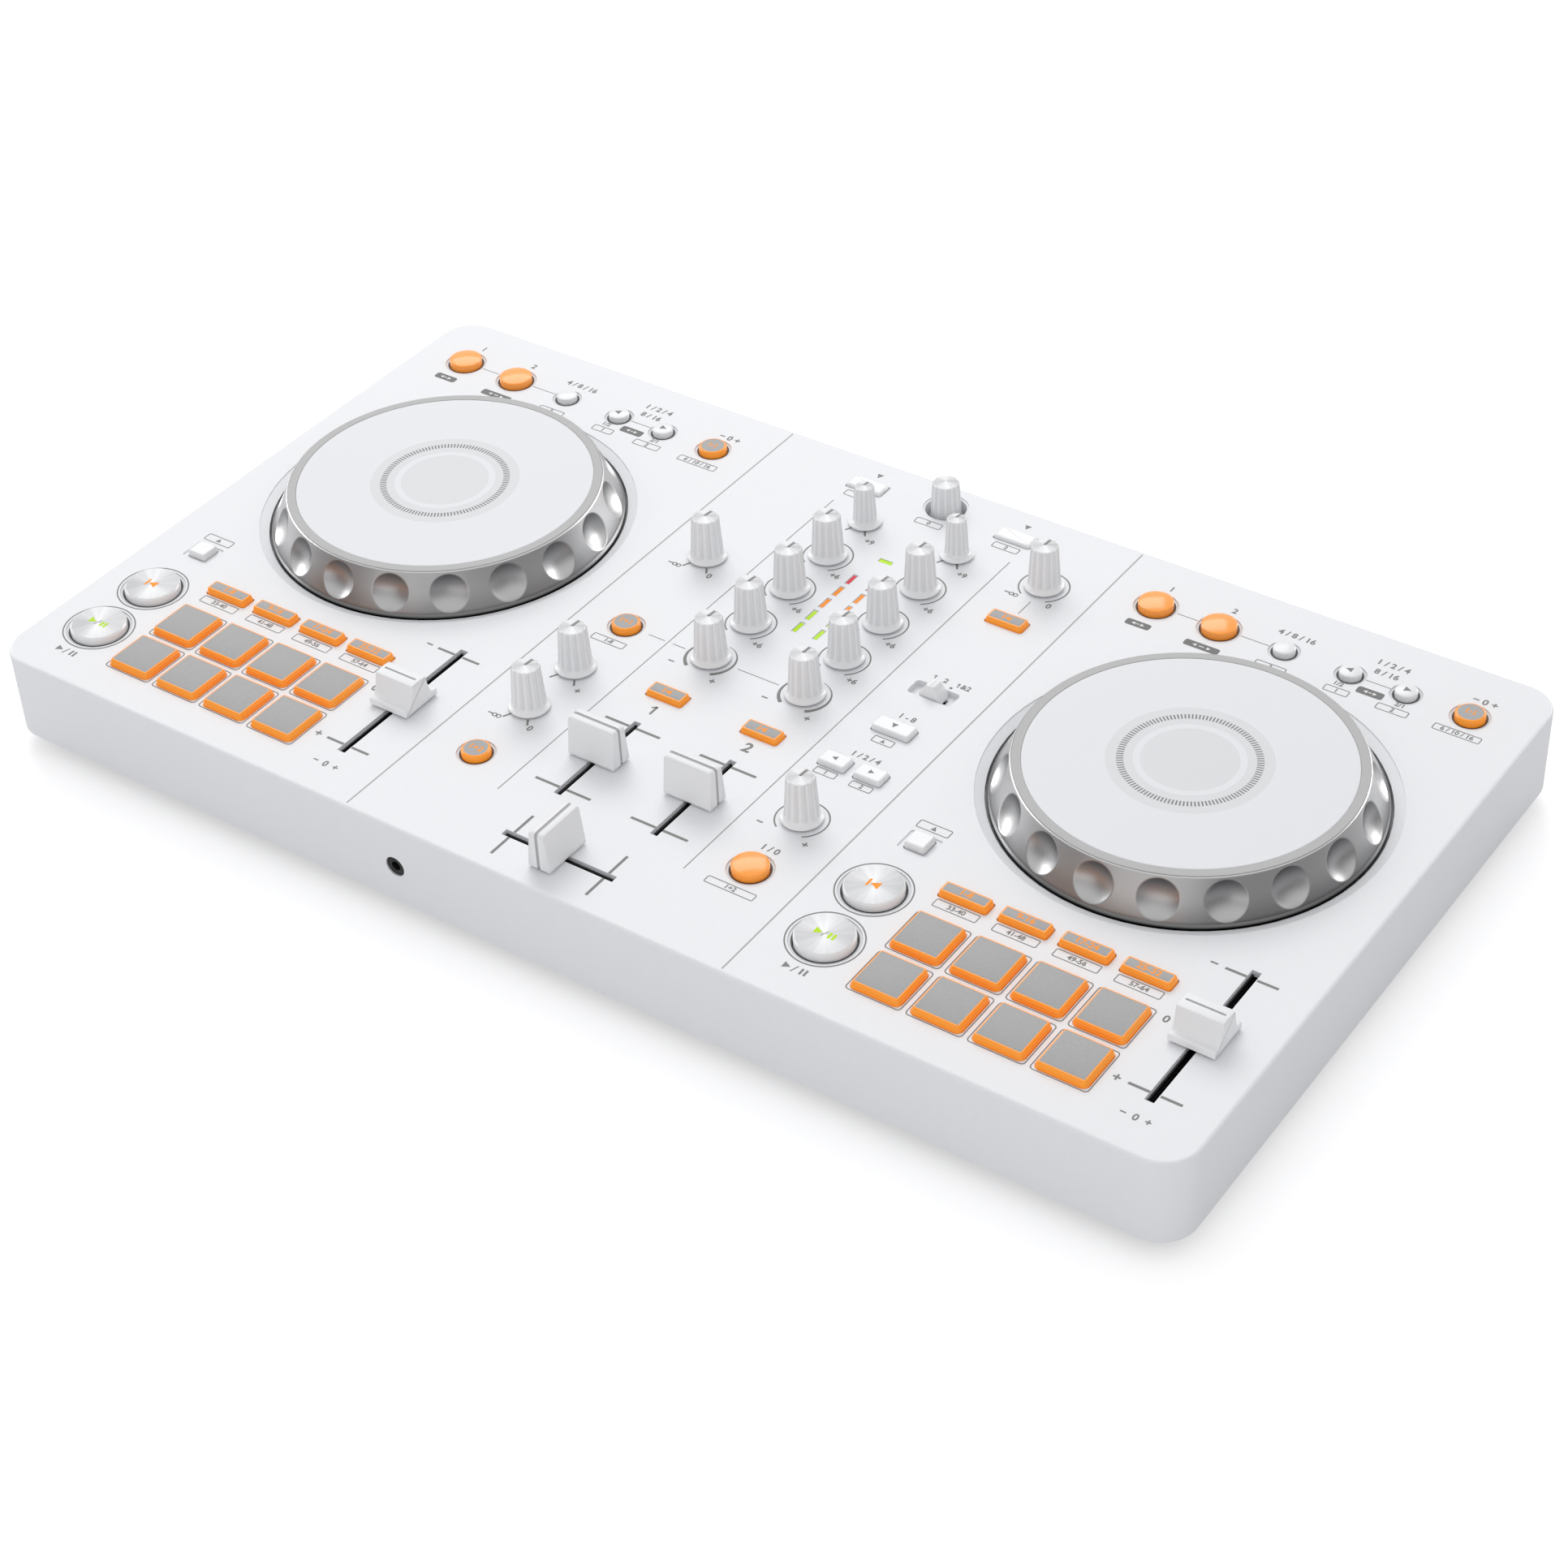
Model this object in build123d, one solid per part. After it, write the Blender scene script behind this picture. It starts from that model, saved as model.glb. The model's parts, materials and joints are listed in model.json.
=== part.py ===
from build123d import *
from collections import namedtuple
from math import atan2, degrees, hypot
import os

# A two-deck DJ controller, in millimetres.
# Every piece is drawn in the panel frame: the origin is the centre of the top face, X runs to the right,
# Y runs to the back and Z is up. write() then moves it to the part's own frame, whose origin is the centre
# of the outline at the level that the feet stand on.

# ---- Body ----
body_width = 482.0
body_depth = 267.0
wall_height = 33.15  # top face to the lower edge of the side walls
corner_radius = 13.0
top_edge_radius = 1.3
shell_wall = 2.5  # side walls
panel_thickness = 2.5
base_drop = 3.35  # how far the base tray hangs below the side walls
base_thickness = 2.5
base_lip_height = 9.0
base_lip_thickness = 2.0
base_chamfer = 2.0
seam_clearance = 0.3  # base tray to side walls, all round
foot_height = 4.0
foot_radius = 8.5
foot_socket_depth = 0.8
foot_chamfer = 0.8
foot_inset_x = 36.0  # foot centres from the side walls
foot_inset_y = 25.5  # foot centres from the front and rear walls

# ---- Fits ----
key_clearance = 0.35  # key to the edge of its hole
key_gap = 0.2  # key flange to the underside of the panel
spindle_clearance = 0.08  # turning spindle to its bore, radial
lever_clearance = 0.15  # slider lever to its track, each side
part_clearance = 0.2  # fixed piece to the edge of its hole
panel_float = 0.6  # knobs and fader caps above the panel
travel_clearance = 0.2  # pressed key to its switch
end_clearance = 0.3  # slider lever to the end of its slot
body_gap = 0.1  # fixed piece to the wall or board beside it
over = 1.0  # how far a cut runs past the face that it opens

# ---- Boards and what stands on them ----
board_top = -11.5
board_thickness = 1.6
board_half_width = 68.0  # deck boards
mixer_board_half_width = 73.0
front_board_back = -36.0
rear_board_front = 96.0
board_margin = 5.0  # boards to the inside of the front and rear walls
post_radius = 3.0
front_post_margin = 8.0  # post centres to the inside of the front wall
rear_post_margin = 9.5
pot_size = 11.0
pot_top = -4.5
spindle_radius = 3.0
spindle_length = 4.6  # below the top of the potentiometer
spindle_hole_radius = 3.9
track_width = 9.0
track_margin = 5.0
track_top = -4.5
lever_depth = 4.0
switch_size = 6.0
key_travel = 1.0
plunger_radius = 1.7
plunger_length = 2.0
flange_thickness = 1.0
flange_width = 1.0

# ---- Screws ----
boss_radius = 4.0
inner_boss_x = 79.75
boss_inset_x = 9.5  # outer bosses from the side walls
boss_inset_y = 15.5  # front and rear bosses from the walls
middle_boss_y = -52.0
screw_radius = 1.45
screw_hole_radius = 1.5
screw_length = 14.0
screw_head_radius = 2.9
screw_head_height = 1.8
counterbore_radius = 3.2
counterbore_depth = 1.9
drive_radius = 0.9
drive_depth = 0.9

# ---- Decks, measured from each deck's own centre line ----
deck_inset = 83.5  # deck centre lines from the side walls
jog_y = 21.0
jog_base_radius = 66.4
jog_cone_run = 7.8  # how far the rim leans in
jog_rim_width = 3.2  # flat ring round the disc
jog_crease_height = -0.5  # where the cone meets the foot of the rim
jog_foot_flare = 0.8  # the foot stands out from the cone by this much
jog_foot_rise = 0.7
jog_bevel_run = 0.6
jog_bevel_rise = 0.5
jog_height = 14.0
jog_disc_thickness = 2.0
jog_disc_gap = 0.3
jog_disc_edge = 0.3
jog_disc_seat = 1.5  # web ledge that carries the edge of the disc
jog_skirt_depth = 2.4  # how far the platter sinks below the panel
jog_web_thickness = 2.0
jog_rim_thickness = 4.0
jog_well_clearance = 0.8
jog_well_depth = 5.0
jog_well_wall = 2.0
jog_ledge_margin = 4.4
jog_ledge_step = 0.3  # upright edge of the dished ledge round the well
jog_ledge_depth = 1.5
jog_spindle_radius = 6.0
jog_spindle_length = 31.0
jog_spindle_clearance = 0.05
jog_collar_radius = 8.5
jog_collar_gap = 0.1
bearing_outer_radius = 9.0
bearing_flange_radius = 20.0
bearing_flange_thickness = 2.0
bearing_top = 4.0
dimple_count = 18
dimple_sphere_radius = 13.0
dimple_depth = 2.1

transport_x = -60.9  # play, cue and shift column
transport_radius = 10.2
transport_height = 3.5
cue_y = -75.0
play_y = -103.1
shift_y = -48.0
shift_size = 7.8
shift_height = 2.2
shift_recess_width = 12.2
shift_recess_depth = 9.8

pad_size = 18.4
pad_corner = 2.2
pad_spacing = 3.8
pad_height = 2.4
pad_front_y = -108.3
mode_key_width = 18.0
mode_key_depth = 6.0
mode_key_height = 2.4
mode_key_y = -63.6

top_row_y = 106.6
loop_in_x = -60.8
loop_out_x = -35.4
loop_exit_x = -9.8
call_back_x = 15.7
call_next_x = 36.8
sync_x = 60.6
loop_radius = 6.4
exit_radius = 4.0
sync_radius = 5.35
round_recess_margin = 1.8
recess_depth = 0.5
key_corner = 0.8
key_chamfer = 0.8

tempo_x = 60.6
tempo_y = -77.9
tempo_travel = 30.0  # each way
tempo_slot_width = 3.3
tempo_lever_width = 2.0
tempo_lever_length = 6.6
tempo_cap_width = 16.5
tempo_cap_length = 17.0
tempo_cap_height = 11.6
tempo_cap_edge = 2.4
tempo_ridge = 3.6  # half length of the crowned ridge
tempo_crown = 0.4
tempo_lip_depth = 0.8
tempo_lip_rise = 0.3
tempo_groove_width = 0.9
tempo_groove_depth = 0.5
tempo_groove_margin = 1.2

# ---- Mixer ----
channel_x = 20.0
channel_fader_y = -67.7
fader_travel = 19.5
fader_slot_width = 2.9
fader_lever_width = 1.2
fader_lever_length = 6.0
fader_cap_width = 19.5
fader_cap_length = 8.0
fader_cap_top = 5.4
fader_cap_height = 15.5
fader_cap_radius = 2.0
fader_cap_foot = 1.2  # upright edge below the taper
fader_groove_width = 1.1
fader_groove_depth = 0.7
crossfader_y = -115.4

side_column_x = 57.0
eq_pitch = 24.5
trim_y = 95.8
filter_y = -2.1
mic_level_y = 47.4
phones_mix_y = -31.7
phones_level_y = -58.0
depth_y = -58.0

knob_skirt_radius = 7.3
knob_body_radius = 6.1
knob_top_radius = 4.7
knob_height = 18.7
trim_skirt_radius = 5.2
trim_body_radius = 4.4
trim_top_radius = 3.4
trim_height = 17.3
skirt_thickness = 1.6
skirt_edge = 0.8
skirt_shoulder = 0.4
knob_crown = 0.9
knob_bevel_run = 0.5
knob_bevel_rise = 0.4
flute_count = 12
flute_radius = 1.2
flute_depth = 0.35
flute_start = 0.8  # above the skirt

browse_y = 120.0
browse_recess_radius = 8.7
browse_well_radius = 7.8
browse_well_depth = 6.0
browse_well_wall = 1.5
browse_body_radius = 6.1
browse_top_radius = 5.2
browse_height = 12.0
browse_sink = 4.5
browse_push = 0.5
browse_spindle_top = 6.0

load_key_x = 32.5
load_key_y = 116.5
load_key_width = 15.2
load_key_depth = 7.4
load_key_height = 1.3
load_bar_y = 105.2
load_bar_depth = 5.0

channel_cue_y = -27.6
cue_key_width = 15.0
cue_key_depth = 6.6
cue_key_height = 2.3
master_cue_y = 70.5
smart_radius = 5.2
smart_height = 2.1
smart_filter_y = -2.2
smart_fader_y = -87.4
fx_select_y = -2.4
fx_select_width = 15.0
fx_key_depth = 7.0
fx_key_height = 2.2
beat_key_y = -27.6
beat_key_width = 10.8
beat_key_spread = 7.15  # half the distance between the two beat keys
fx_on_y = -87.6
fx_on_radius = 6.4
dome_height = 3.0
dome_edge_height = 1.8
exit_height = 2.2
exit_edge_height = 1.2
sync_height = 2.1

selector_y = 22.2
selector_recess_width = 17.6
selector_recess_depth = 7.8
selector_floor = 2.2  # depth of the recess
selector_floor_thickness = 1.2
selector_travel = 4.0
selector_width = 8.8
selector_top_width = 3.6
selector_depth = 6.4
selector_height = 4.5
selector_stem = 2.0
selector_stem_reach = 1.6  # below the floor of the recess
selector_taper = 0.6  # front and back faces, at the top
selector_recess_corner = 1.5
selector_switch_wall_x = 2.0
selector_switch_wall_y = 2.5
selector_groove_depth = 2.2

meter_x = 4.5
meter_lens_width = 1.7
meter_lens_length = 6.1
meter_pitch = 8.5
meter_centre_y = 46.4
meter_segments = 5
indicator_y = 79.1
indicator_width = 5.2
indicator_depth = 1.7
lens_flange = 1.2
lens_sink = 0.15  # lens face below the panel

# ---- Sockets ----
headphone_x = -57.0
headphone_bore_radius = 1.8
headphone_bore_depth = 14.0
headphone_nose_radius = 3.7
headphone_nose_sink = 0.5
headphone_body_width = 9.0
headphone_body_length = 14.0
rear_socket_drop = 6.9  # rear socket lines below the boards
mic_inset = 91.0  # socket centres from the right side wall
mic_bore_radius = 3.2
mic_bore_depth = 26.0
mic_nose_radius = 6.2
mic_nose_reach = 1.5
mic_body_width = 15.0
mic_body_length = 28.0
socket_body_drop = 5.5  # housings below the line of the rear sockets
phono_inset = 129.0
phono_spacing = 14.0
phono_radius = 4.15
phono_bore_radius = 1.6
phono_bore_depth = 10.0
socket_reach = 5.4  # phono sockets beyond the rear wall
phono_body_width = 30.0
phono_body_length = 10.0
usb_x = (40.0, 62.0)
usb_width = 8.94
usb_height = 3.26
usb_wall = 0.3
usb_depth = 6.2
usb_body_width = 11.0
usb_body_length = 8.0
usb_tongue_width = 6.7
usb_tongue_thickness = 0.7
lock_slot_inset = 36.0
lock_slot_width = 7.0
lock_slot_height = 3.0

# ---- Levels and places that follow ----
under_panel = -panel_thickness
flange_top = under_panel - key_gap
plunger_end = flange_top - flange_thickness - plunger_length
switch_top = plunger_end - key_travel - travel_clearance
base_bottom = -wall_height - base_drop
board_bottom = board_top - board_thickness
headphone_z = board_bottom - headphone_body_width / 2 - body_gap
rear_socket_z = board_bottom - rear_socket_drop
base_top = base_bottom + base_thickness
inner_width = body_width - 2 * shell_wall
inner_depth = body_depth - 2 * shell_wall
inner_corner = corner_radius - shell_wall
tray_width = inner_width - 2 * seam_clearance
tray_depth = inner_depth - 2 * seam_clearance
tray_corner = inner_corner - seam_clearance
front_inside = -inner_depth / 2
rear_inside = inner_depth / 2
mic_x = body_width / 2 - mic_inset
phono_x = body_width / 2 - phono_inset
lock_slot_x = body_width / 2 - lock_slot_inset
deck_offset = body_width / 2 - deck_inset
pad_pitch = pad_size + pad_spacing
jog_top_radius = jog_base_radius - jog_cone_run
jog_disc_radius = jog_top_radius - jog_rim_width
jog_well_radius = jog_base_radius + jog_well_clearance
jog_ledge_radius = jog_base_radius + jog_ledge_margin
stand_level = base_bottom - foot_height
frame_shift = Pos(0, -socket_reach / 2, -stand_level)
phono_places = (phono_x - phono_spacing / 2, phono_x + phono_spacing / 2)

Key = namedtuple("Key", "x y width depth height style")


# ---- Shapes ----
def block(width, depth, bottom, top, x=0.0, y=0.0, corner=0.0):
    """An upright block, with rounded vertical corners if corner isn't 0."""
    outline = RectangleRounded(width, depth, corner) if corner else Rectangle(width, depth)
    return Pos(x, y, bottom) * extrude(outline, top - bottom)


def drum(radius, bottom, top, x=0.0, y=0.0):
    """An upright cylinder."""
    return Pos(x, y, bottom) * extrude(Circle(radius), top - bottom)


def turned(points):
    """A solid turned about the Z axis from its half outline, given as (radius, height) points."""
    return revolve(make_face(Plane.XZ * Polyline(*points, close=True)), Axis.Z)


def along_y(outline, start, end, x, z):
    """An outline carried along Y, its own X staying along X and its own Y pointing up."""
    section = Plane((x, start, z), x_dir=(1, 0, 0), z_dir=(0, -1, 0)) * outline
    return extrude(section, start - end)


def joined(pieces):
    """One solid from overlapping or touching pieces."""
    whole = pieces[0]
    for piece in pieces[1:]:
        whole = whole + piece
    return whole


def write(name, *pieces):
    """Writes a node as one STEP file in the part's own frame."""
    solids = [solid for piece in pieces for solid in piece.solids()]
    placed = [frame_shift * solid for solid in solids]
    export_step(placed[0] if len(placed) == 1 else Compound(children=placed), f"parts/{name}.step")


# ---- Keys ----
def key_outline(key, grow=0.0):
    """The plan of a key, or of its hole or flange when it is grown."""
    if key.style in ("round", "dome"):
        return Circle(key.width / 2 + grow)
    corner = pad_corner if key.style == "pad" else key_corner
    return RectangleRounded(key.width + 2 * grow, key.depth + 2 * grow, corner + grow)


def key_cap(key, edge_height):
    """The visible cap, down through the panel to the flange. A dome rises from edge_height."""
    cap = Pos(key.x, key.y, flange_top) * extrude(key_outline(key), key.height - flange_top)
    if key.style == "dome":
        rise = key.height - edge_height
        sphere_radius = (key.width**2 / 4 + rise**2) / (2 * rise)
        return cap & Pos(key.x, key.y, key.height - sphere_radius) * Sphere(sphere_radius)
    top_edges = cap.edges().group_by(Axis.Z)[-1]
    return chamfer(top_edges, min(key_chamfer, key.height / 3))


def key_piece(keys, edge_heights=None, carrier=None):
    """Keys with their flanges and plungers as one moulding, joined by a carrier under the panel."""
    pieces = [] if carrier is None else [carrier]
    for number, key in enumerate(keys):
        edge_height = key.height if edge_heights is None else edge_heights[number]
        flange_bottom = flange_top - flange_thickness
        flange = extrude(key_outline(key, flange_width), flange_thickness)
        pieces.append(Pos(key.x, key.y, flange_bottom) * flange)
        pieces.append(key_cap(key, edge_height))
        pieces.append(drum(plunger_radius, plunger_end, flange_bottom, key.x, key.y))
    return joined(pieces)


def key_hole(key, recess_margin=0.0):
    """What a key needs cut from the panel: its hole and, round it, a shallow recess."""
    hole = Pos(key.x, key.y, -2 * panel_thickness) * extrude(
        key_outline(key, key_clearance), 3 * panel_thickness
    )
    if not recess_margin:
        return hole
    recess = Pos(key.x, key.y, -recess_depth) * extrude(key_outline(key, recess_margin), 2 * recess_depth)
    return hole + recess


def strip(keys):
    """A straight carrier under a row or a block of keys."""
    left = min(key.x - key.width / 2 for key in keys) - flange_width
    right = max(key.x + key.width / 2 for key in keys) + flange_width
    half_depth = [key.depth / 2 + flange_width for key in keys]
    front = min(key.y - half for key, half in zip(keys, half_depth))
    back = max(key.y + half for key, half in zip(keys, half_depth))
    return block(
        right - left, back - front, flange_top - flange_thickness, flange_top,
        (left + right) / 2, (front + back) / 2,
    )


def round_key(x, y, radius, height, style="round"):
    return Key(x, y, 2 * radius, 2 * radius, height, style)


cue_key = round_key(transport_x, cue_y, transport_radius, transport_height)
play_key = round_key(transport_x, play_y, transport_radius, transport_height)
shift_key = Key(transport_x, shift_y, shift_size, shift_size, shift_height, "square")
pad_columns = [(column - 1.5) * pad_pitch for column in range(4)]
pads = [
    Key(x, pad_front_y + row * pad_pitch, pad_size, pad_size, pad_height, "pad")
    for row in range(2)
    for x in pad_columns
]
mode_keys = [
    Key(x, mode_key_y, mode_key_width, mode_key_depth, mode_key_height, "square") for x in pad_columns
]
loop_keys = [
    round_key(loop_in_x, top_row_y, loop_radius, dome_height, "dome"),
    round_key(loop_out_x, top_row_y, loop_radius, dome_height, "dome"),
    round_key(loop_exit_x, top_row_y, exit_radius, exit_height, "dome"),
    round_key(call_back_x, top_row_y, exit_radius, exit_height, "dome"),
    round_key(call_next_x, top_row_y, exit_radius, exit_height, "dome"),
]
loop_edges = [dome_edge_height, dome_edge_height, exit_edge_height, exit_edge_height, exit_edge_height]
sync_key = round_key(sync_x, top_row_y, sync_radius, sync_height)

load_keys = [
    Key(side * load_key_x, load_key_y, load_key_width, load_key_depth, load_key_height, "square")
    for side in (-1, 1)
]
channel_cue_keys = [
    Key(side * channel_x, channel_cue_y, cue_key_width, cue_key_depth, cue_key_height, "square")
    for side in (-1, 1)
]
master_cue_key = Key(side_column_x, master_cue_y, cue_key_width, cue_key_depth, cue_key_height, "square")
smart_filter_key = round_key(-side_column_x, smart_filter_y, smart_radius, smart_height)
smart_fader_key = round_key(-side_column_x, smart_fader_y, smart_radius, smart_height)
fx_keys = [
    Key(side_column_x, fx_select_y, fx_select_width, fx_key_depth, fx_key_height, "square"),
    Key(side_column_x - beat_key_spread, beat_key_y, beat_key_width, fx_key_depth, fx_key_height, "square"),
    Key(side_column_x + beat_key_spread, beat_key_y, beat_key_width, fx_key_depth, fx_key_height, "square"),
]
fx_on_key = round_key(side_column_x, fx_on_y, fx_on_radius, dome_height, "dome")

deck_keys = [cue_key, play_key, shift_key, sync_key, *pads, *mode_keys, *loop_keys]
mixer_keys = [
    *load_keys, *channel_cue_keys, master_cue_key, smart_filter_key, smart_fader_key, *fx_keys, fx_on_key,
]

# ---- Turning controls: name, place, and whether it is a small trim knob ----
eq_names = ("hi", "mid", "low")
knobs = {}
for channel, side in ((1, -1), (2, 1)):
    knobs[f"trim_knob_{channel}"] = (side * channel_x, trim_y, True)
    for step, band in enumerate(eq_names):
        knobs[f"{band}_knob_{channel}"] = (side * channel_x, trim_y - (step + 1) * eq_pitch, False)
    knobs[f"filter_knob_{channel}"] = (side * channel_x, filter_y, False)
knobs["mic_level_knob"] = (-side_column_x, mic_level_y, False)
knobs["phones_mix_knob"] = (-side_column_x, phones_mix_y, False)
knobs["phones_level_knob"] = (-side_column_x, phones_level_y, False)
knobs["master_level_knob"] = (side_column_x, trim_y, False)
knobs["fx_depth_knob"] = (side_column_x, depth_y, False)

# ---- Where the boards hang from the panel ----
front_post_y = front_inside + front_post_margin
rear_post_y = rear_inside - rear_post_margin
front_posts = [(-46.0, front_post_y), (46.0, front_post_y), (-45.0, -50.0), (45.0, -50.0)]
rear_posts = [(-48.0, rear_post_y), (2.5, rear_post_y), (48.0, rear_post_y)]
mixer_posts = [(side * 69.5, y) for side in (-1, 1) for y in (front_post_y, 15.0, rear_post_y)]
mixer_posts += [(0.0, -62.0), (0.0, 96.0)]
front_boss_y = boss_inset_y - body_depth / 2
boss_x = (inner_boss_x, body_width / 2 - boss_inset_x)
boss_y = (front_boss_y, middle_boss_y, -front_boss_y)
bosses = [(side * x, y) for side in (-1, 1) for x in boss_x for y in boss_y]


def on_decks(places):
    """Deck places carried to both decks."""
    return [(side * deck_offset + x, y) for side in (-1, 1) for x, y in places]


# ---- Slides ----
def slot_length(travel, lever_length):
    return 2 * (travel + end_clearance) + lever_length


def slot_cut(width, length, x, y, lengthwise):
    """A slider's slot through the panel, along Y or, if lengthwise is False, along X."""
    size = (width, length) if lengthwise else (length, width)
    return block(*size, -2 * panel_thickness, panel_thickness, x, y)


def track(lever_width, length, x, y, lengthwise):
    """A slide potentiometer's body, open at the top along the lever's travel."""
    outer = (track_width, length + 2 * track_margin)
    inner = (lever_width + 2 * lever_clearance, length)
    if not lengthwise:
        outer, inner = outer[::-1], inner[::-1]
    body = block(*outer, board_top, track_top, x, y)
    return body - block(*inner, track_top - lever_depth - end_clearance, track_top + over, x, y)


def fader_cap(lengthwise):
    """A tall tapered cap with a groove over its middle, on its lever. Its travel is along Y."""
    half_base = fader_cap_length / 2
    half_top = fader_cap_top / 2
    foot_top = panel_float + fader_cap_foot
    side = Polyline(
        (-half_base, panel_float), (half_base, panel_float), (half_base, foot_top),
        (half_top, fader_cap_height), (-half_top, fader_cap_height), (-half_base, foot_top), close=True,
    )
    body = extrude(make_face(Plane.YZ * side), fader_cap_width / 2, both=True)
    ends = body.edges().filter_by(Axis.Y).group_by(Axis.Z)[-1]
    body = fillet(ends, fader_cap_radius)
    inside = block(fader_cap_width - 2 * fader_groove_depth, fader_groove_width,
                   panel_float, fader_cap_height - fader_groove_depth)
    groove = block(fader_cap_width + over, fader_groove_width, 0, fader_cap_height + over) - inside
    lever = block(fader_lever_width, fader_lever_length, track_top - lever_depth, panel_float)
    cap = (body - groove) + lever
    return cap if lengthwise else Rot(0, 0, 90) * cap


def tempo_cap():
    """A saddle: a grooved ridge that falls in a hollow curve to a low lip, front and back alike."""
    half = tempo_cap_length / 2
    lip = panel_float + tempo_cap_edge
    shoulder = tempo_cap_height - tempo_crown
    lip_back = (half - tempo_lip_depth, lip + tempo_lip_rise)
    lip_front = (tempo_lip_depth - half, lip + tempo_lip_rise)
    ridge_back, ridge_front = (tempo_ridge, shoulder), (-tempo_ridge, shoulder)
    outline = Polyline(lip_front, (-half, lip), (-half, panel_float),
                       (half, panel_float), (half, lip), lip_back)
    outline += Spline(lip_back, ridge_back, tangents=[(-1, -0.15), (-0.25, 1)])
    outline += ThreePointArc(ridge_back, (0, tempo_cap_height), ridge_front)
    outline += Spline(ridge_front, lip_front, tangents=[(-0.25, -1), (-1, 0.15)])
    body = extrude(make_face(Plane.YZ * outline), tempo_cap_width / 2, both=True)
    groove = block(tempo_cap_width - 2 * tempo_groove_margin, tempo_groove_width,
                   tempo_cap_height - tempo_groove_depth, tempo_cap_height + over)
    lever = block(tempo_lever_width, tempo_lever_length, track_top - lever_depth, panel_float)
    return (body - groove) + lever


# ---- Knobs ----
def knob_body(bottom, flute_bottom, body_radius, top_radius, height):
    """The tapered grip, fluted, with a shallow crowned top."""
    rim = height - knob_crown
    shoulder = rim - knob_bevel_rise
    grip = turned([(0, bottom), (body_radius, bottom), (body_radius, flute_bottom), (top_radius, shoulder),
                   (top_radius - knob_bevel_run, rim), (0, height)])
    lean = degrees(atan2(body_radius - top_radius, shoulder - flute_bottom))
    start = body_radius + flute_radius - flute_depth
    cutter = Cylinder(flute_radius, height, align=(Align.CENTER, Align.CENTER, Align.MIN))
    leaned = Pos(start, 0, flute_bottom + flute_start) * Rot(0, -lean, 0) * cutter
    return grip - [Rot(0, 0, (number + 0.5) * 360 / flute_count) * leaned for number in range(flute_count)]


def knob(small):
    """A pot knob with its skirt and its spindle."""
    skirt, body, top, height = (
        (trim_skirt_radius, trim_body_radius, trim_top_radius, trim_height)
        if small
        else (knob_skirt_radius, knob_body_radius, knob_top_radius, knob_height)
    )
    skirt_top = panel_float + skirt_thickness
    shoulder = skirt_top + skirt_shoulder
    flared = turned([(0, panel_float), (skirt, panel_float), (skirt, panel_float + skirt_edge),
                     (body, shoulder), (0, shoulder)])
    spindle = drum(spindle_radius, pot_top - spindle_length, panel_float)
    return knob_body(panel_float, skirt_top, body, top, height) + flared + spindle


def potentiometer(x, y):
    body = block(pot_size, pot_size, board_top, pot_top, x, y)
    bore = drum(spindle_radius + spindle_clearance, pot_top - spindle_length - end_clearance, 0, x, y)
    return body - bore


# ---- Jog wheel ----
def jog_platter():
    """The conical rim with its finger dimples, the web and the spindle, as one moulding."""
    web_top = jog_height - jog_disc_thickness
    web_bottom = web_top - jog_web_thickness
    seat_radius = jog_disc_radius + jog_disc_gap
    collar_bottom = bearing_top + jog_collar_gap
    spindle_end = collar_bottom - jog_spindle_length
    crease_radius = jog_base_radius - jog_foot_flare
    cone_top_radius = jog_top_radius + jog_bevel_run
    cone_top = jog_height - jog_bevel_rise
    platter = turned([
        (0, spindle_end), (jog_spindle_radius, spindle_end), (jog_spindle_radius, collar_bottom),
        (jog_collar_radius, collar_bottom), (jog_collar_radius, web_bottom),
        (seat_radius - jog_disc_seat, web_bottom), (jog_base_radius - jog_rim_thickness, -jog_skirt_depth),
        (jog_base_radius, -jog_skirt_depth), (jog_base_radius, jog_crease_height - jog_foot_rise),
        (crease_radius, jog_crease_height), (cone_top_radius, cone_top), (jog_top_radius, jog_height),
        (seat_radius, jog_height), (seat_radius, web_top), (0, web_top),
    ])
    run = crease_radius - cone_top_radius
    rise = cone_top - jog_crease_height
    slope = hypot(run, rise)
    reach = dimple_sphere_radius - dimple_depth
    dimple_x = (crease_radius + cone_top_radius) / 2 + reach * rise / slope
    dimple_z = (jog_crease_height + cone_top) / 2 + reach * run / slope
    dimple = Pos(dimple_x, 0, dimple_z) * Sphere(dimple_sphere_radius)
    turns = [number * 360 / dimple_count - 90 for number in range(dimple_count)]
    return platter - [Rot(0, 0, turn) * dimple for turn in turns]


def jog_bearing():
    """The flanged tube that carries a jog's spindle, standing on the floor of its well."""
    seat = -jog_well_depth
    bore = jog_spindle_radius + jog_spindle_clearance
    bottom = bearing_top + jog_collar_gap - jog_spindle_length
    return turned([
        (bore, bottom), (bearing_outer_radius, bottom), (bearing_outer_radius, seat),
        (bearing_flange_radius, seat), (bearing_flange_radius, seat + bearing_flange_thickness),
        (bearing_outer_radius, seat + bearing_flange_thickness), (bearing_outer_radius, bearing_top),
        (bore, bearing_top),
    ])


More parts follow.
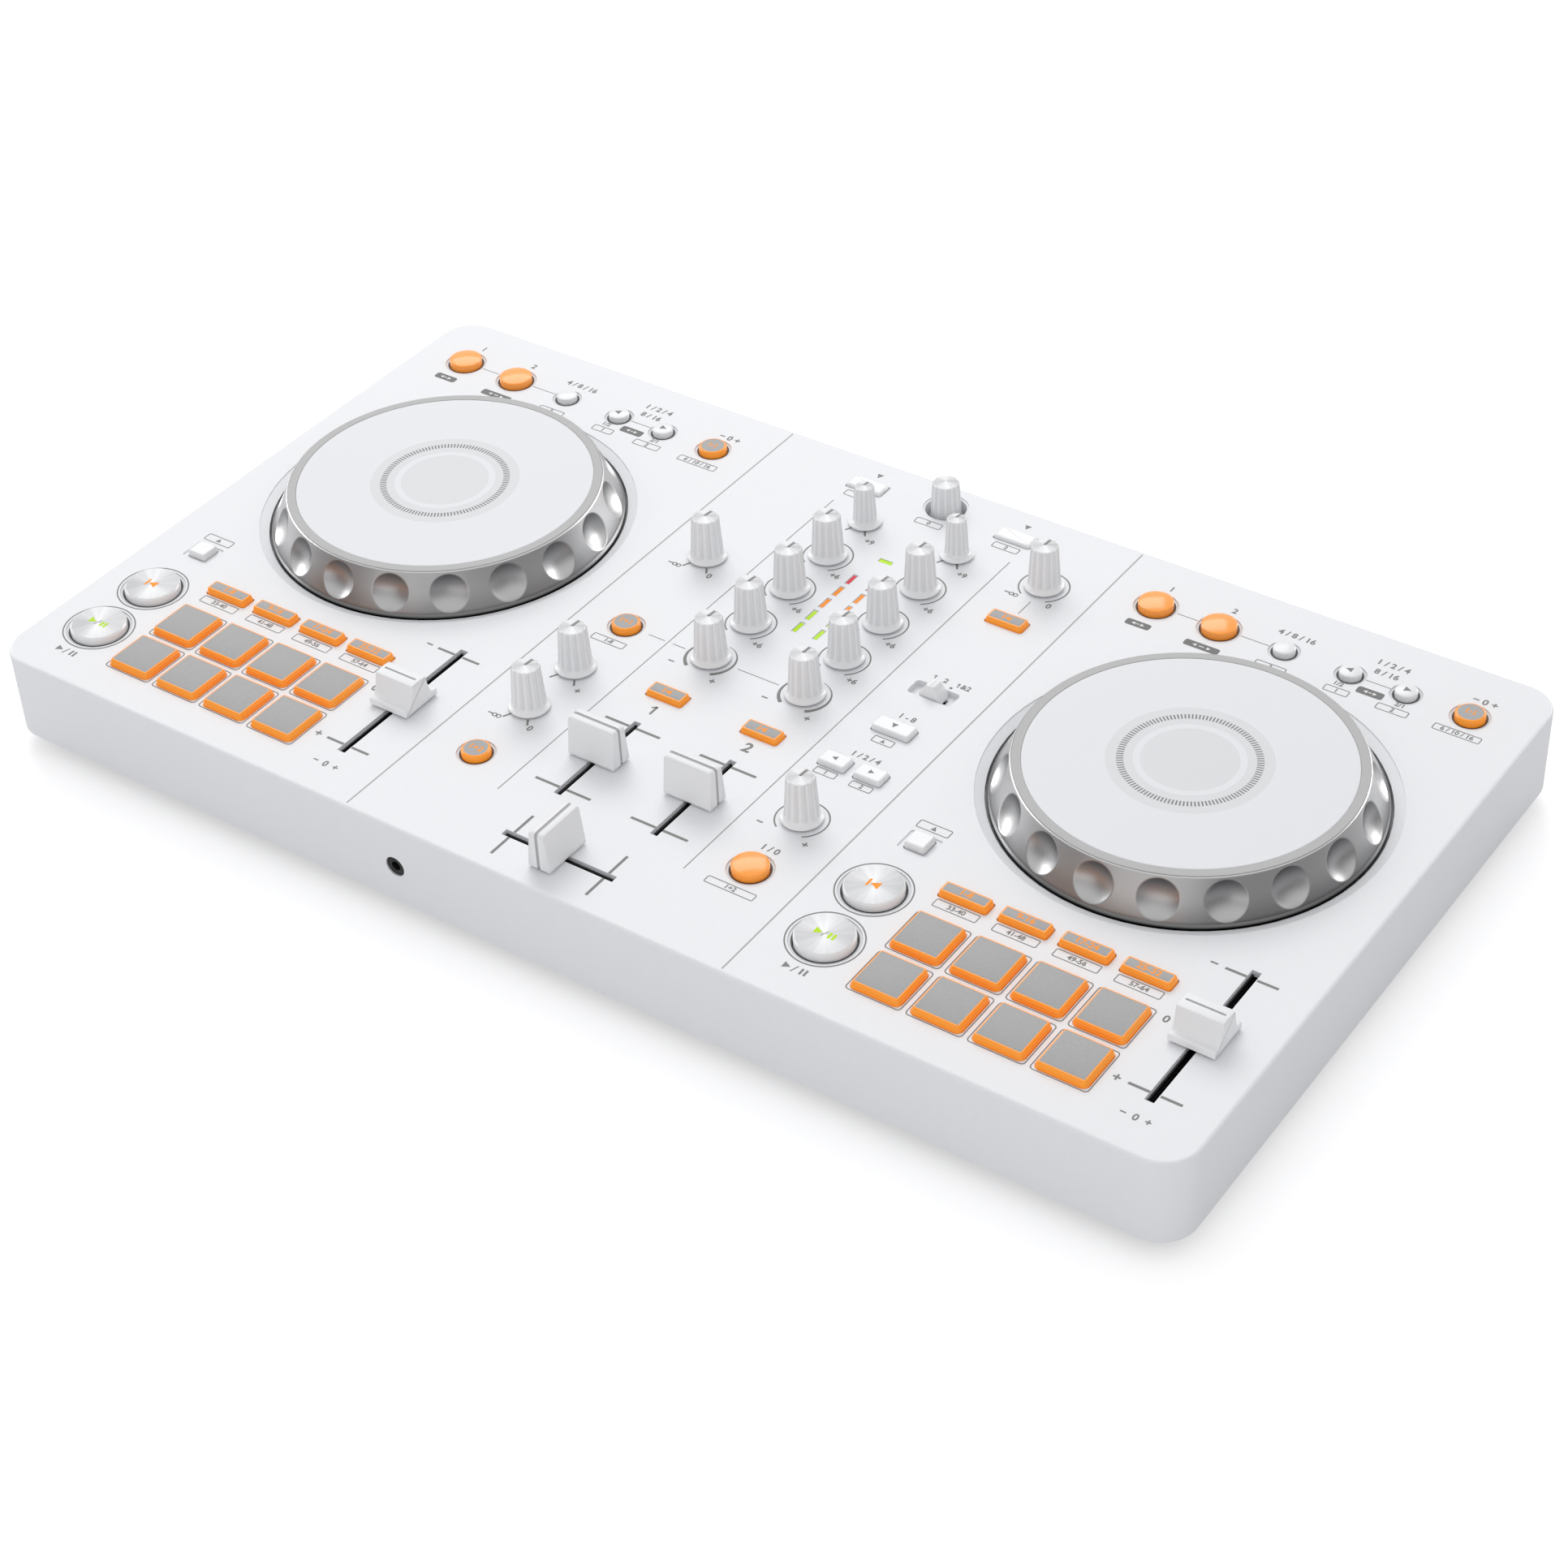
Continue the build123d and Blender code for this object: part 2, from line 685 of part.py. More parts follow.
# ---- Upper case ----
def panel_cuts():
    """Everything cut from the top panel."""
    cuts = []
    deck_cuts = [key_hole(key) for key in (*pads, *mode_keys)]
    deck_cuts += [key_hole(key, round_recess_margin) for key in (cue_key, play_key, sync_key, *loop_keys)]
    deck_cuts += [
        key_hole(shift_key),
        block(shift_recess_width, shift_recess_depth, -recess_depth, recess_depth, transport_x, shift_y,
              key_corner),
        slot_cut(tempo_slot_width, slot_length(tempo_travel, tempo_lever_length), tempo_x, tempo_y, True),
        drum(jog_well_radius, -jog_well_depth, panel_thickness, 0, jog_y),
        drum(bearing_outer_radius + part_clearance, -2 * jog_well_depth, 0, 0, jog_y),
        Pos(0, jog_y, 0) * turned([
            (0, -jog_ledge_depth), (jog_well_radius, -jog_ledge_depth), (jog_ledge_radius, -jog_ledge_step),
            (jog_ledge_radius, panel_thickness), (0, panel_thickness),
        ]),
    ]
    for side in (-1, 1):
        cuts += [Pos(side * deck_offset, 0, 0) * cut for cut in deck_cuts]
    cuts += [key_hole(key) for key in (*load_keys, *channel_cue_keys, master_cue_key, *fx_keys)]
    cuts += [key_hole(key, round_recess_margin) for key in (smart_filter_key, smart_fader_key, fx_on_key)]
    cuts += [drum(spindle_hole_radius, -2 * panel_thickness, panel_thickness, x, y)
             for x, y, _ in knobs.values()]
    fader_slot = slot_length(fader_travel, fader_lever_length)
    for side in (-1, 1):
        cuts.append(slot_cut(fader_slot_width, fader_slot, side * channel_x, channel_fader_y, True))
    cuts.append(slot_cut(fader_slot_width, fader_slot, 0, crossfader_y, False))
    cuts.append(drum(browse_recess_radius, -recess_depth, panel_thickness, 0, browse_y))
    cuts.append(drum(browse_well_radius, -browse_well_depth, panel_thickness, 0, browse_y))
    cuts.append(drum(spindle_hole_radius, -2 * browse_well_depth, 0, 0, browse_y))
    cuts.append(block(selector_recess_width, selector_recess_depth, -selector_floor, panel_thickness,
                      side_column_x, selector_y, selector_recess_corner))
    cuts.append(block(*selector_groove(), -2 * selector_floor, 0, side_column_x, selector_y))
    cuts += [block(width + 2 * part_clearance, depth + 2 * part_clearance, -2 * panel_thickness, over, x, y)
             for x, y, width, depth in lens_places()]
    return cuts


def lens_places():
    """Each light window: its centre and its size."""
    places = [(0.0, indicator_y, indicator_width, indicator_depth)]
    for side in (-1, 1):
        for number in range(meter_segments):
            y = meter_centre_y + (number - (meter_segments - 1) / 2) * meter_pitch
            places.append((side * meter_x, y, meter_lens_width, meter_lens_length))
    return places


def selector_groove():
    """How wide and how deep the opening is that the selector's stem runs in."""
    return selector_stem + 2 * (selector_travel + end_clearance), selector_stem + 2 * lever_clearance


def usb_outline(grow):
    return SlotOverall(usb_width + 2 * grow, usb_height + 2 * grow)


def wall_cuts():
    """The holes in the front and rear walls, each wider than what sits in it."""
    front = (-body_depth / 2 - over, front_inside + over)
    rear = (rear_inside - over, body_depth / 2 + over)
    cuts = [
        along_y(Circle(headphone_nose_radius + part_clearance), *front, headphone_x, headphone_z),
        along_y(Circle(mic_nose_radius + part_clearance), *rear, mic_x, rear_socket_z),
        along_y(Rectangle(lock_slot_width, lock_slot_height), *rear, lock_slot_x, rear_socket_z),
    ]
    for x in phono_places:
        cuts.append(along_y(Circle(phono_radius + part_clearance), *rear, x, rear_socket_z))
    for x in usb_x:
        cuts.append(along_y(usb_outline(part_clearance), *rear, x, rear_socket_z))
    return cuts


def upper_case():
    """The one-piece white shell: top panel, side walls, jog wells, screw bosses and board posts."""
    outer = block(body_width, body_depth, -wall_height, 0, 0, 0, corner_radius)
    outer = fillet(outer.edges().group_by(Axis.Z)[-1], top_edge_radius)
    shell = outer - block(inner_width, inner_depth, -wall_height - over, under_panel, 0, 0, inner_corner)
    inside = []
    for side in (-1, 1):
        inside.append(drum(jog_well_radius + jog_well_wall, -jog_well_depth - jog_well_wall, under_panel,
                           side * deck_offset, jog_y))
    inside.append(drum(browse_well_radius + browse_well_wall, -browse_well_depth - browse_well_wall,
                       under_panel, 0, browse_y))
    inside.append(block(selector_recess_width + 2 * selector_floor_thickness,
                        selector_recess_depth + 2 * selector_floor_thickness,
                        -selector_floor - selector_floor_thickness, under_panel, side_column_x, selector_y))
    inside += [drum(boss_radius, base_top, under_panel, x, y) for x, y in bosses]
    posts = on_decks(front_posts) + on_decks(rear_posts) + mixer_posts
    inside += [drum(post_radius, board_top, under_panel, x, y) for x, y in posts]
    shell = shell + inside
    threads = [drum(screw_hole_radius, base_top - over, base_top + screw_length, x, y) for x, y in bosses]
    return shell - (panel_cuts() + wall_cuts() + threads)


# ---- Base ----
def base_case():
    """The shallow tray that closes the case from below, with its lip inside the side walls."""
    tray = block(tray_width, tray_depth, base_bottom, base_bottom + base_lip_height, 0, 0, tray_corner)
    tray = chamfer(tray.edges().group_by(Axis.Z)[0], base_chamfer)
    hollow = block(tray_width - 2 * base_lip_thickness, tray_depth - 2 * base_lip_thickness, base_top,
                   base_top + base_lip_height, 0, 0, tray_corner - base_lip_thickness)
    cuts = [hollow]
    below = base_bottom - over
    cuts += [drum(screw_hole_radius, below, base_top + over, x, y) for x, y in bosses]
    cuts += [drum(counterbore_radius, below, base_bottom + counterbore_depth, x, y) for x, y in bosses]
    cuts += [drum(foot_radius + part_clearance, below, base_bottom + foot_socket_depth, x, y)
             for x, y in feet]
    return tray - cuts


foot_x = body_width / 2 - foot_inset_x
foot_y = body_depth / 2 - foot_inset_y
feet = [(side * foot_x, end * foot_y) for side in (-1, 1) for end in (-1, 1)]


def foot(x, y):
    body = drum(foot_radius, stand_level, base_bottom + foot_socket_depth, x, y)
    return chamfer(body.edges().group_by(Axis.Z)[0], foot_chamfer)


def screw(x, y):
    head_bottom = base_bottom + counterbore_depth - screw_head_height
    head = drum(screw_head_radius, head_bottom, base_bottom + counterbore_depth, x, y)
    drive = drum(drive_radius, head_bottom - over, head_bottom + drive_depth, x, y)
    shank = drum(screw_radius, base_bottom + counterbore_depth, base_top + screw_length - over, x, y)
    return head + shank - drive


# ---- Boards, switches and lenses ----
def board(half_width, front, back, x):
    return block(2 * half_width, back - front, board_bottom, board_top, x, (front + back) / 2)


def circuit_boards():
    """A front and a rear board in each deck and one long board under the mixer."""
    front, back = front_inside + board_margin, rear_inside - board_margin
    boards = []
    for side in (-1, 1):
        boards.append(board(board_half_width, front, front_board_back, side * deck_offset))
        boards.append(board(board_half_width, rear_board_front, back, side * deck_offset))
    opening = drum(spindle_radius + 2 * spindle_clearance, 2 * board_top, 0, 0, browse_y)
    boards.append(board(mixer_board_half_width, front, back, 0) - opening)
    return boards


def tact_switch(x, y):
    return block(switch_size, switch_size, board_top, switch_top, x, y)


def browse_encoder():
    top = -browse_well_depth - browse_well_wall
    body = block(pot_size, pot_size, board_top, top, 0, browse_y)
    return body - drum(spindle_radius + spindle_clearance, 2 * board_top, 0, 0, browse_y)


def meter_lenses():
    """Light windows that stand in the panel on thin flanged light guides."""
    bottom = under_panel - lens_flange
    windows = [block(width, depth, bottom, -lens_sink, x, y) for x, y, width, depth in lens_places()]
    length = (meter_segments - 1) * meter_pitch + meter_lens_length + 2 * lens_flange
    flange = block(indicator_width + 2 * lens_flange, indicator_depth + 2 * lens_flange, bottom,
                   under_panel, 0, indicator_y)
    guides = [flange + windows[0]]
    for number, side in enumerate((-1, 1)):
        flange = block(meter_lens_width + 2 * lens_flange, length, bottom, under_panel, side * meter_x,
                       meter_centre_y)
        own = windows[1 + number * meter_segments:1 + (number + 1) * meter_segments]
        guides.append(joined([flange, *own]))
    return guides


# ---- Sockets ----
def headphone_jack():
    front = -body_depth / 2 + headphone_nose_sink
    body_end = front_inside + headphone_body_length
    nose = along_y(Circle(headphone_nose_radius), front, front_inside, headphone_x, headphone_z)
    body = along_y(Rectangle(headphone_body_width, headphone_body_width), front_inside, body_end,
                   headphone_x, headphone_z)
    bore = along_y(Circle(headphone_bore_radius), front - over, front + headphone_bore_depth,
                   headphone_x, headphone_z)
    return nose + body - bore


def socket_body(width, length, x):
    """A socket's housing inside the rear wall, soldered to the underside of its board."""
    bottom = rear_socket_z - socket_body_drop
    return block(width, length, bottom, board_bottom, x, rear_inside - length / 2)


def rear_sockets():
    """Microphone jack, the pair of phono sockets and the two USB sockets."""
    rear = body_depth / 2
    mic_end = rear + mic_nose_reach
    mic = along_y(Circle(mic_nose_radius), rear_inside, mic_end, mic_x, rear_socket_z)
    mic += socket_body(mic_body_width, mic_body_length, mic_x)
    mic -= along_y(Circle(mic_bore_radius), mic_end - mic_bore_depth, mic_end + over, mic_x, rear_socket_z)
    phono_end = rear + socket_reach
    phono = socket_body(phono_body_width, phono_body_length, phono_x)
    for x in phono_places:
        phono += along_y(Circle(phono_radius), rear_inside, phono_end, x, rear_socket_z)
        phono -= along_y(Circle(phono_bore_radius), phono_end - phono_bore_depth, phono_end + over, x,
                         rear_socket_z)
    sockets = [mic, phono]
    for x in usb_x:
        shell = along_y(usb_outline(0), rear_inside, rear, x, rear_socket_z)
        cavity = along_y(usb_outline(-usb_wall), rear - usb_depth, rear + over, x, rear_socket_z)
        tongue = along_y(Rectangle(usb_tongue_width, usb_tongue_thickness), rear - usb_depth, rear - over,
                         x, rear_socket_z)
        sockets.append(shell + socket_body(usb_body_width, usb_body_length, x) - cavity + tongue)
    return sockets


# ---- Selector, browse knob ----
def selector():
    """The three-way slide switch's lever, tapering from the floor of its recess to a narrow top."""
    floor = key_gap - selector_floor
    shoulder = Rectangle(selector_width, selector_depth)
    top = Pos(0, 0, selector_height) * Rectangle(selector_top_width, selector_depth - 2 * selector_taper)
    stem_end = -selector_floor - selector_floor_thickness - selector_stem_reach
    lever = block(selector_width, selector_depth, floor, 0) + loft([shoulder, top])
    stem = block(selector_stem, selector_stem, stem_end, floor)
    return Pos(side_column_x, selector_y, 0) * (lever + stem)


def selector_switch():
    """The slide switch's body, with the groove that the lever's stem runs in."""
    top = -selector_floor - selector_floor_thickness - body_gap
    width, depth = selector_groove()
    body = block(width + 2 * selector_switch_wall_x, depth + 2 * selector_switch_wall_y, board_top, top,
                 side_column_x, selector_y)
    return body - block(width, depth, top - selector_groove_depth, 0, side_column_x, selector_y)


def browse_knob():
    """The tall browse knob, which turns on its pushing spindle."""
    body = knob_body(-browse_sink, 0, browse_body_radius, browse_top_radius, browse_height)
    bore = drum(spindle_radius + spindle_clearance, -browse_sink - over,
                browse_spindle_top + part_clearance)
    return Pos(0, browse_y, 0) * (body - bore)


def browse_spindle():
    end = (board_top + board_bottom) / 2
    return drum(spindle_radius, end + browse_push, browse_spindle_top, 0, browse_y)


def load_carrier():
    """A bar in front of the browse well that ties the two load keys together."""
    bottom = flange_top - flange_thickness
    width = 2 * load_key_x + load_key_width
    pieces = [block(width, load_bar_depth, bottom, flange_top, 0, load_bar_y)]
    front = load_bar_y
    for side in (-1, 1):
        pieces.append(block(load_key_width, load_key_y - front, bottom, flange_top, side * load_key_x,
                            (load_key_y + front) / 2))
    return joined(pieces)


# ---- Assembly ----
os.makedirs("parts", exist_ok=True)

write("upper_case", upper_case())
write("base_case", base_case())
write("rubber_feet", *[foot(x, y) for x, y in feet])
write("case_screws", *[screw(x, y) for x, y in bosses])
write("circuit_boards", *circuit_boards())
write("meter_lenses", *meter_lenses())
write("headphone_jack", headphone_jack())
write("rear_sockets", *rear_sockets())
write("jog_bearings", *[Pos(side * deck_offset, jog_y, 0) * jog_bearing() for side in (-1, 1)])
write("rotary_pots", *[potentiometer(x, y) for x, y, _ in knobs.values()], browse_encoder())

fader_slot = slot_length(fader_travel, fader_lever_length)
tempo_slot = slot_length(tempo_travel, tempo_lever_length)
tracks = []
for side in (-1, 1):
    tempo_place = (side * deck_offset + tempo_x, tempo_y)
    tracks.append(track(tempo_lever_width, tempo_slot, *tempo_place, True))
    tracks.append(track(fader_lever_width, fader_slot, side * channel_x, channel_fader_y, True))
tracks.append(track(fader_lever_width, fader_slot, 0, crossfader_y, False))
write("slide_pots", *tracks)

switch_places = on_decks([(key.x, key.y) for key in deck_keys]) + [(key.x, key.y) for key in mixer_keys]
write("key_switches", *[tact_switch(x, y) for x, y in switch_places], selector_switch())

platter = jog_platter()
disc = drum(jog_disc_radius, jog_height - jog_disc_thickness, jog_height)
disc = fillet(disc.edges().group_by(Axis.Z)[-1], jog_disc_edge)
deck_pieces = {
    "tempo_fader": Pos(tempo_x, tempo_y, 0) * tempo_cap(),
    "play_key": key_piece([play_key]),
    "cue_key": key_piece([cue_key]),
    "shift_key": key_piece([shift_key]),
    "pad_mat": key_piece(pads, carrier=strip(pads)),
    "pad_mode_keys": key_piece(mode_keys, carrier=strip(mode_keys)),
    "loop_keys": key_piece(loop_keys, loop_edges, strip(loop_keys[2:] + loop_keys[:2])),
    "sync_key": key_piece([sync_key]),
    "jog_platter": Pos(0, jog_y, 0) * platter,
    "jog_disc": Pos(0, jog_y, 0) * disc,
}
for side, side_name in ((-1, "left"), (1, "right")):
    for name, piece in deck_pieces.items():
        write(f"{side_name}_{name}", Pos(side * deck_offset, 0, 0) * piece)

write("load_keys", key_piece(load_keys, carrier=load_carrier()))
cue_bar = block(2 * channel_x, cue_key_depth, flange_top - flange_thickness, flange_top, 0, channel_cue_y)
write("channel_cue_keys", key_piece(channel_cue_keys, carrier=cue_bar))
write("master_cue_key", key_piece([master_cue_key]))
write("smart_filter_key", key_piece([smart_filter_key]))
write("smart_fader_key", key_piece([smart_fader_key]))
write("fx_keys", key_piece(fx_keys, carrier=strip(fx_keys)))
write("fx_on_key", key_piece([fx_on_key], [dome_edge_height]))
write("fx_channel_switch", selector())

for number, side in ((1, -1), (2, 1)):
    write(f"channel_fader_{number}", Pos(side * channel_x, channel_fader_y, 0) * fader_cap(True))
write("crossfader", Pos(0, crossfader_y, 0) * fader_cap(False))

large_knob = knob(False)
small_knob = knob(True)
for name, (x, y, small) in knobs.items():
    write(name, Pos(x, y, 0) * (small_knob if small else large_knob))
write("browse_knob", browse_knob())
write("browse_spindle", browse_spindle())
print("panel level", round(-stand_level, 2), "overall height", round(knob_height - stand_level, 2))
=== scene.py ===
import json
import math
import bpy
import numpy as np
from mathutils import Matrix, Vector

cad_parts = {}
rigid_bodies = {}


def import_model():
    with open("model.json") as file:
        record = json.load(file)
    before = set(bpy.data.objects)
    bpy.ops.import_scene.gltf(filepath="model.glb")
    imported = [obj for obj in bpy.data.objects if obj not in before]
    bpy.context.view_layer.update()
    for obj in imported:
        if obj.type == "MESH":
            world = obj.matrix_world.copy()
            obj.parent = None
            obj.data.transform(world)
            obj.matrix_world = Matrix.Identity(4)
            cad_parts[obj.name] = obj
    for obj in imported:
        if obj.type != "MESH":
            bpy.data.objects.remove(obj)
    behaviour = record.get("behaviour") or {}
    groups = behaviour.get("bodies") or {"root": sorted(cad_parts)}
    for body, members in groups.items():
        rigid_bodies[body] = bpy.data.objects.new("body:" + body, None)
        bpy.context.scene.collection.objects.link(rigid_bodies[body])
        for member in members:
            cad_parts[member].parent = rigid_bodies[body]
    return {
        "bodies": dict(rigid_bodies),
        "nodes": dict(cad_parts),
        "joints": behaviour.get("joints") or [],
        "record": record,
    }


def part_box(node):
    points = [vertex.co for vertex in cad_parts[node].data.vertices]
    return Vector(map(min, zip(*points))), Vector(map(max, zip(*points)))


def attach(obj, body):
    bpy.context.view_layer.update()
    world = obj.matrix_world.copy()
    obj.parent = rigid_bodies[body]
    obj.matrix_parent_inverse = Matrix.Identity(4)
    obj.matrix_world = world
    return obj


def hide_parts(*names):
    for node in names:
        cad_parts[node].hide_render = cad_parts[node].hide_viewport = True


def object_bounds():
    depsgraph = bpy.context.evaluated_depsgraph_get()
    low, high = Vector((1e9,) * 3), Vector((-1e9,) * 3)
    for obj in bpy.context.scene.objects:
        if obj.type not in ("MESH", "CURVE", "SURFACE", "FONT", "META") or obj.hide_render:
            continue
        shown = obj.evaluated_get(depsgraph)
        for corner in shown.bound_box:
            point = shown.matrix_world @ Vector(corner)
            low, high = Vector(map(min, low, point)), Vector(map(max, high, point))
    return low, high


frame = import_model()
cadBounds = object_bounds()
nodes = frame["nodes"]

# Lengths in this script are mm from the centre of the top panel: x right, y back, z up. addPiece() turns them
# into metres in the frame, and materials and the camera do the same with their own.
shellLow, shellHigh = (np.array(corner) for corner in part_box("upper_case"))
panelCentre = np.array([*((shellLow + shellHigh) / 2)[:2], shellHigh[2]])
toMetres = 0.001
deckSides = {"left": -1, "right": 1}


def spot(node):
    # middle of a CAD node seen from above, in mm
    low, high = (np.array(corner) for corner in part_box(node))
    return tuple((((low + high) / 2 - panelCentre) / toMetres)[:2])


deckX = spot("right_jog_disc")[0]
print("frame loaded,", len(nodes), "nodes")


def loft(rings, ends=True, around=False):
    # rings is rows x points x 3. Each row is a closed loop, anticlockwise seen from the last row's side, and
    # a quad joins every pair of neighbours to the next row. ends closes the first and last loops with a face,
    # around joins the last row back to the first.
    rows, count = rings.shape[:2]
    index = np.arange(rows * count).reshape(rows, count)
    rowsOut = np.vstack([index, index[:1]]) if around else index
    here, above = rowsOut[:-1], rowsOut[1:]
    quads = np.stack([here, np.roll(here, -1, 1), np.roll(above, -1, 1), above], -1).reshape(-1, 4)
    faces = quads.tolist()
    if ends and not around:
        faces += [index[0][::-1].tolist(), index[-1].tolist()]
    return rings.reshape(-1, 3), faces


def ringsAt(x, y, profile, count):
    # a circle round an upright axis for each (radius, height) of a profile: (x + r cos a, y + r sin a, z)
    angle = np.linspace(0, 2 * np.pi, count, endpoint=False)
    return np.stack([np.column_stack([x + r * np.cos(angle), y + r * np.sin(angle), np.full(count, z)])
                     for r, z in profile])


def turned(profile, x=0.0, y=0.0, count=96):
    # a closed solid of revolution from the radius and height along a profile
    return loft(ringsAt(x, y, profile, count))


def roundRect(width, depth, corner, steps=6):
    # outline of a rectangle whose corners are quarter circles, anticlockwise
    quarter = np.linspace(0, np.pi / 2, steps)
    centres = np.array([[1, 1], [-1, 1], [-1, -1], [1, -1]]) * (width / 2 - corner, depth / 2 - corner)
    angle = quarter[None] + np.arange(4)[:, None] * np.pi / 2
    arcs = centres[:, None] + corner * np.stack([np.cos(angle), np.sin(angle)], -1)
    return arcs.reshape(-1, 2)


def inset(outline, amount):
    # moves each point of a closed outline inwards along the mean normal of its two edges
    before = outline - np.roll(outline, 1, 0)
    after = np.roll(outline, -1, 0) - outline
    before /= np.linalg.norm(before, axis=1)[:, None]
    after /= np.linalg.norm(after, axis=1)[:, None]
    normal = np.stack([-(before + after)[:, 1], (before + after)[:, 0]], -1)
    normal /= np.linalg.norm(normal, axis=1)[:, None]
    mitre = np.clip((normal * np.stack([-after[:, 1], after[:, 0]], -1)).sum(1), 0.5, 1)
    return outline + normal * (amount / mitre)[:, None]


def slab(outline, levels, axis="z", x=0.0, y=0.0, z=0.0):
    # a closed outline carried along an axis: each level is (distance along it, how far the outline shrinks)
    outline = np.asarray(outline, float)
    loops = np.stack([inset(outline, shrink) if shrink else outline for _, shrink in levels])
    along = np.broadcast_to(np.array([place for place, _ in levels])[:, None, None], loops.shape[:2] + (1,))
    solid = np.concatenate([loops, along], -1)
    if axis == "x":
        solid = solid[..., [2, 0, 1]]
    if axis == "y":
        solid = solid[..., [1, 2, 0]]
    return loft(solid + (x, y, z))


def roundedEdge(end, radius, direction=1, steps=5):
    # levels of a quarter-circle edge that finishes at end, with one flat ring inside it
    angle = np.linspace(0, np.pi / 2, steps)
    levels = [(end - direction * radius * (1 - math.sin(a)), radius * (1 - math.cos(a))) for a in angle]
    levels.append((end, radius + 0.15))
    return levels if direction > 0 else levels[::-1]


def combine(meshes):
    # one set of points and faces from several
    points, faces, offset = [], [], 0
    for solid, solidFaces in meshes:
        points.append(solid)
        faces += [[number + offset for number in face] for face in solidFaces]
        offset += len(solid)
    return np.concatenate(points), faces


def addPiece(name, body, points, faces, order, slot, replaced=(), sharp=38, centre=None):
    # order is a list of (material, number of faces). centre writes a flat map of mm from that point, for spun finishes
    # and the painted highlight fan on them.
    mesh = bpy.data.meshes.new(name)
    mesh.from_pydata(points * toMetres + panelCentre, [], faces)
    for material, _ in order:
        mesh.materials.append(material)
    owner = np.repeat(np.arange(len(order)), [count for _, count in order])
    mesh.polygons.foreach_set("material_index", owner.astype(np.int32))
    mesh.polygons.foreach_set("use_smooth", np.ones(len(faces), bool))
    mesh.set_sharp_from_angle(angle=math.radians(sharp))
    if centre is not None:
        corner = np.empty(len(mesh.loops), np.int32)
        mesh.loops.foreach_get("vertex_index", corner)
        flat = mesh.uv_layers.new(name="spin")
        flat.data.foreach_set("uv", (points[corner, :2] - centre).astype(np.float32).ravel())
    piece = bpy.data.objects.new(name, mesh)
    bpy.context.scene.collection.objects.link(piece)
    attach(piece, body)
    if replaced:
        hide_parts(*replaced)


def makePiece(name, body, groups, slot, replaced=(), **settings):
    # groups is a list of (finish, meshes)
    solids = [combine(meshes) for _, meshes in groups]
    order = [(finishes[finish], len(faces)) for (finish, _), (_, faces) in zip(groups, solids)]
    addPiece(name, body, *combine(solids), order, slot, replaced, **settings)


# printed marks are thin solids that stand a little above the panel
inkStyle = {"height": 0.05, "sink": 0.03, "thin": 0.3, "frame": 0.34, "textRaise": 0.04, "weight": 0.026}


def ink(path, width, closed=False, level=0.0):
    # a flat bar carried along a path: left and right of each point by half the width, mitred at the corners
    path = np.asarray(path, float)
    width = np.broadcast_to(np.asarray(width, float), (len(path),))
    ahead = np.roll(path, -1, 0) - path
    behind = path - np.roll(path, 1, 0)
    if not closed:
        ahead[-1], behind[0] = behind[-1], ahead[0]
    ahead /= np.linalg.norm(ahead, axis=1)[:, None]
    behind /= np.linalg.norm(behind, axis=1)[:, None]
    left = np.stack([-(ahead + behind)[:, 1], (ahead + behind)[:, 0]], -1)
    left /= np.linalg.norm(left, axis=1)[:, None]
    mitre = (left * np.stack([-ahead[:, 1], ahead[:, 0]], -1)).sum(1)
    reach = left * (width / 2 / mitre)[:, None]
    low, high = level - inkStyle["sink"], level + inkStyle["height"]
    corners = [(-1, low), (1, low), (1, high), (-1, high)]
    rings = [np.column_stack([path + side * reach, np.full(len(path), height)]) for side, height in corners]
    return loft(np.stack(rings, 1), ends=not closed, around=closed)


def inkFill(outline, level=0.0):
    return slab(outline, [(level - inkStyle["sink"], 0), (level + inkStyle["height"], 0)])


def arcPath(x, y, radius, start, end, step=4.0):
    # points round a circle from one angle to another, in degrees
    angle = np.radians(np.linspace(start, end, max(3, int(abs(end - start) / step) + 1)))
    return np.column_stack([x + radius * np.cos(angle), y + radius * np.sin(angle)])


def inkCircle(x, y, radius, width, level=0.0):
    return ink(arcPath(x, y, radius, 0, 356, 4), width, closed=True, level=level)


def inkFrame(x, y, width, depth, corner=0.5, line=None):
    return ink(roundRect(width, depth, corner, 4) + (x, y), line or inkStyle["frame"], closed=True)


def inkLine(x1, y1, x2, y2, width, level=0.0):
    return ink([(x1, y1), (x2, y2)], width, level=level)


def inkSpoke(x, y, inner, outer, turn, width, level=0.0):
    # a bar along a radius, at an angle in radians
    c, d = math.cos(turn), math.sin(turn)
    return inkLine(x + inner * c, y + inner * d, x + outer * c, y + outer * d, width, level)


def inkBar(x, y, width, depth, corner=0.05, steps=2, level=0.0):
    return inkFill(roundRect(width, depth, corner, steps) + (x, y), level)


def inkTriangle(x, y, size, turn, level=0.0):
    return inkFill(triangle(x, y, size, turn), level)


def triangle(x, y, size, turn):
    # a triangle that points along turn, in degrees
    angle = np.radians(turn + np.array([0, 125, 235]))
    return np.column_stack([x + size * np.cos(angle), y + size * np.sin(angle)])


def cueMark(x, y, size, level):
    # a bar and a triangle that points back at it
    return [inkBar(x - size * 0.55, y, size * 0.24, size, 0.03, level=level),
            inkTriangle(x + size * 0.25, y, size * 0.6, 180, level)]


glyphs = {}


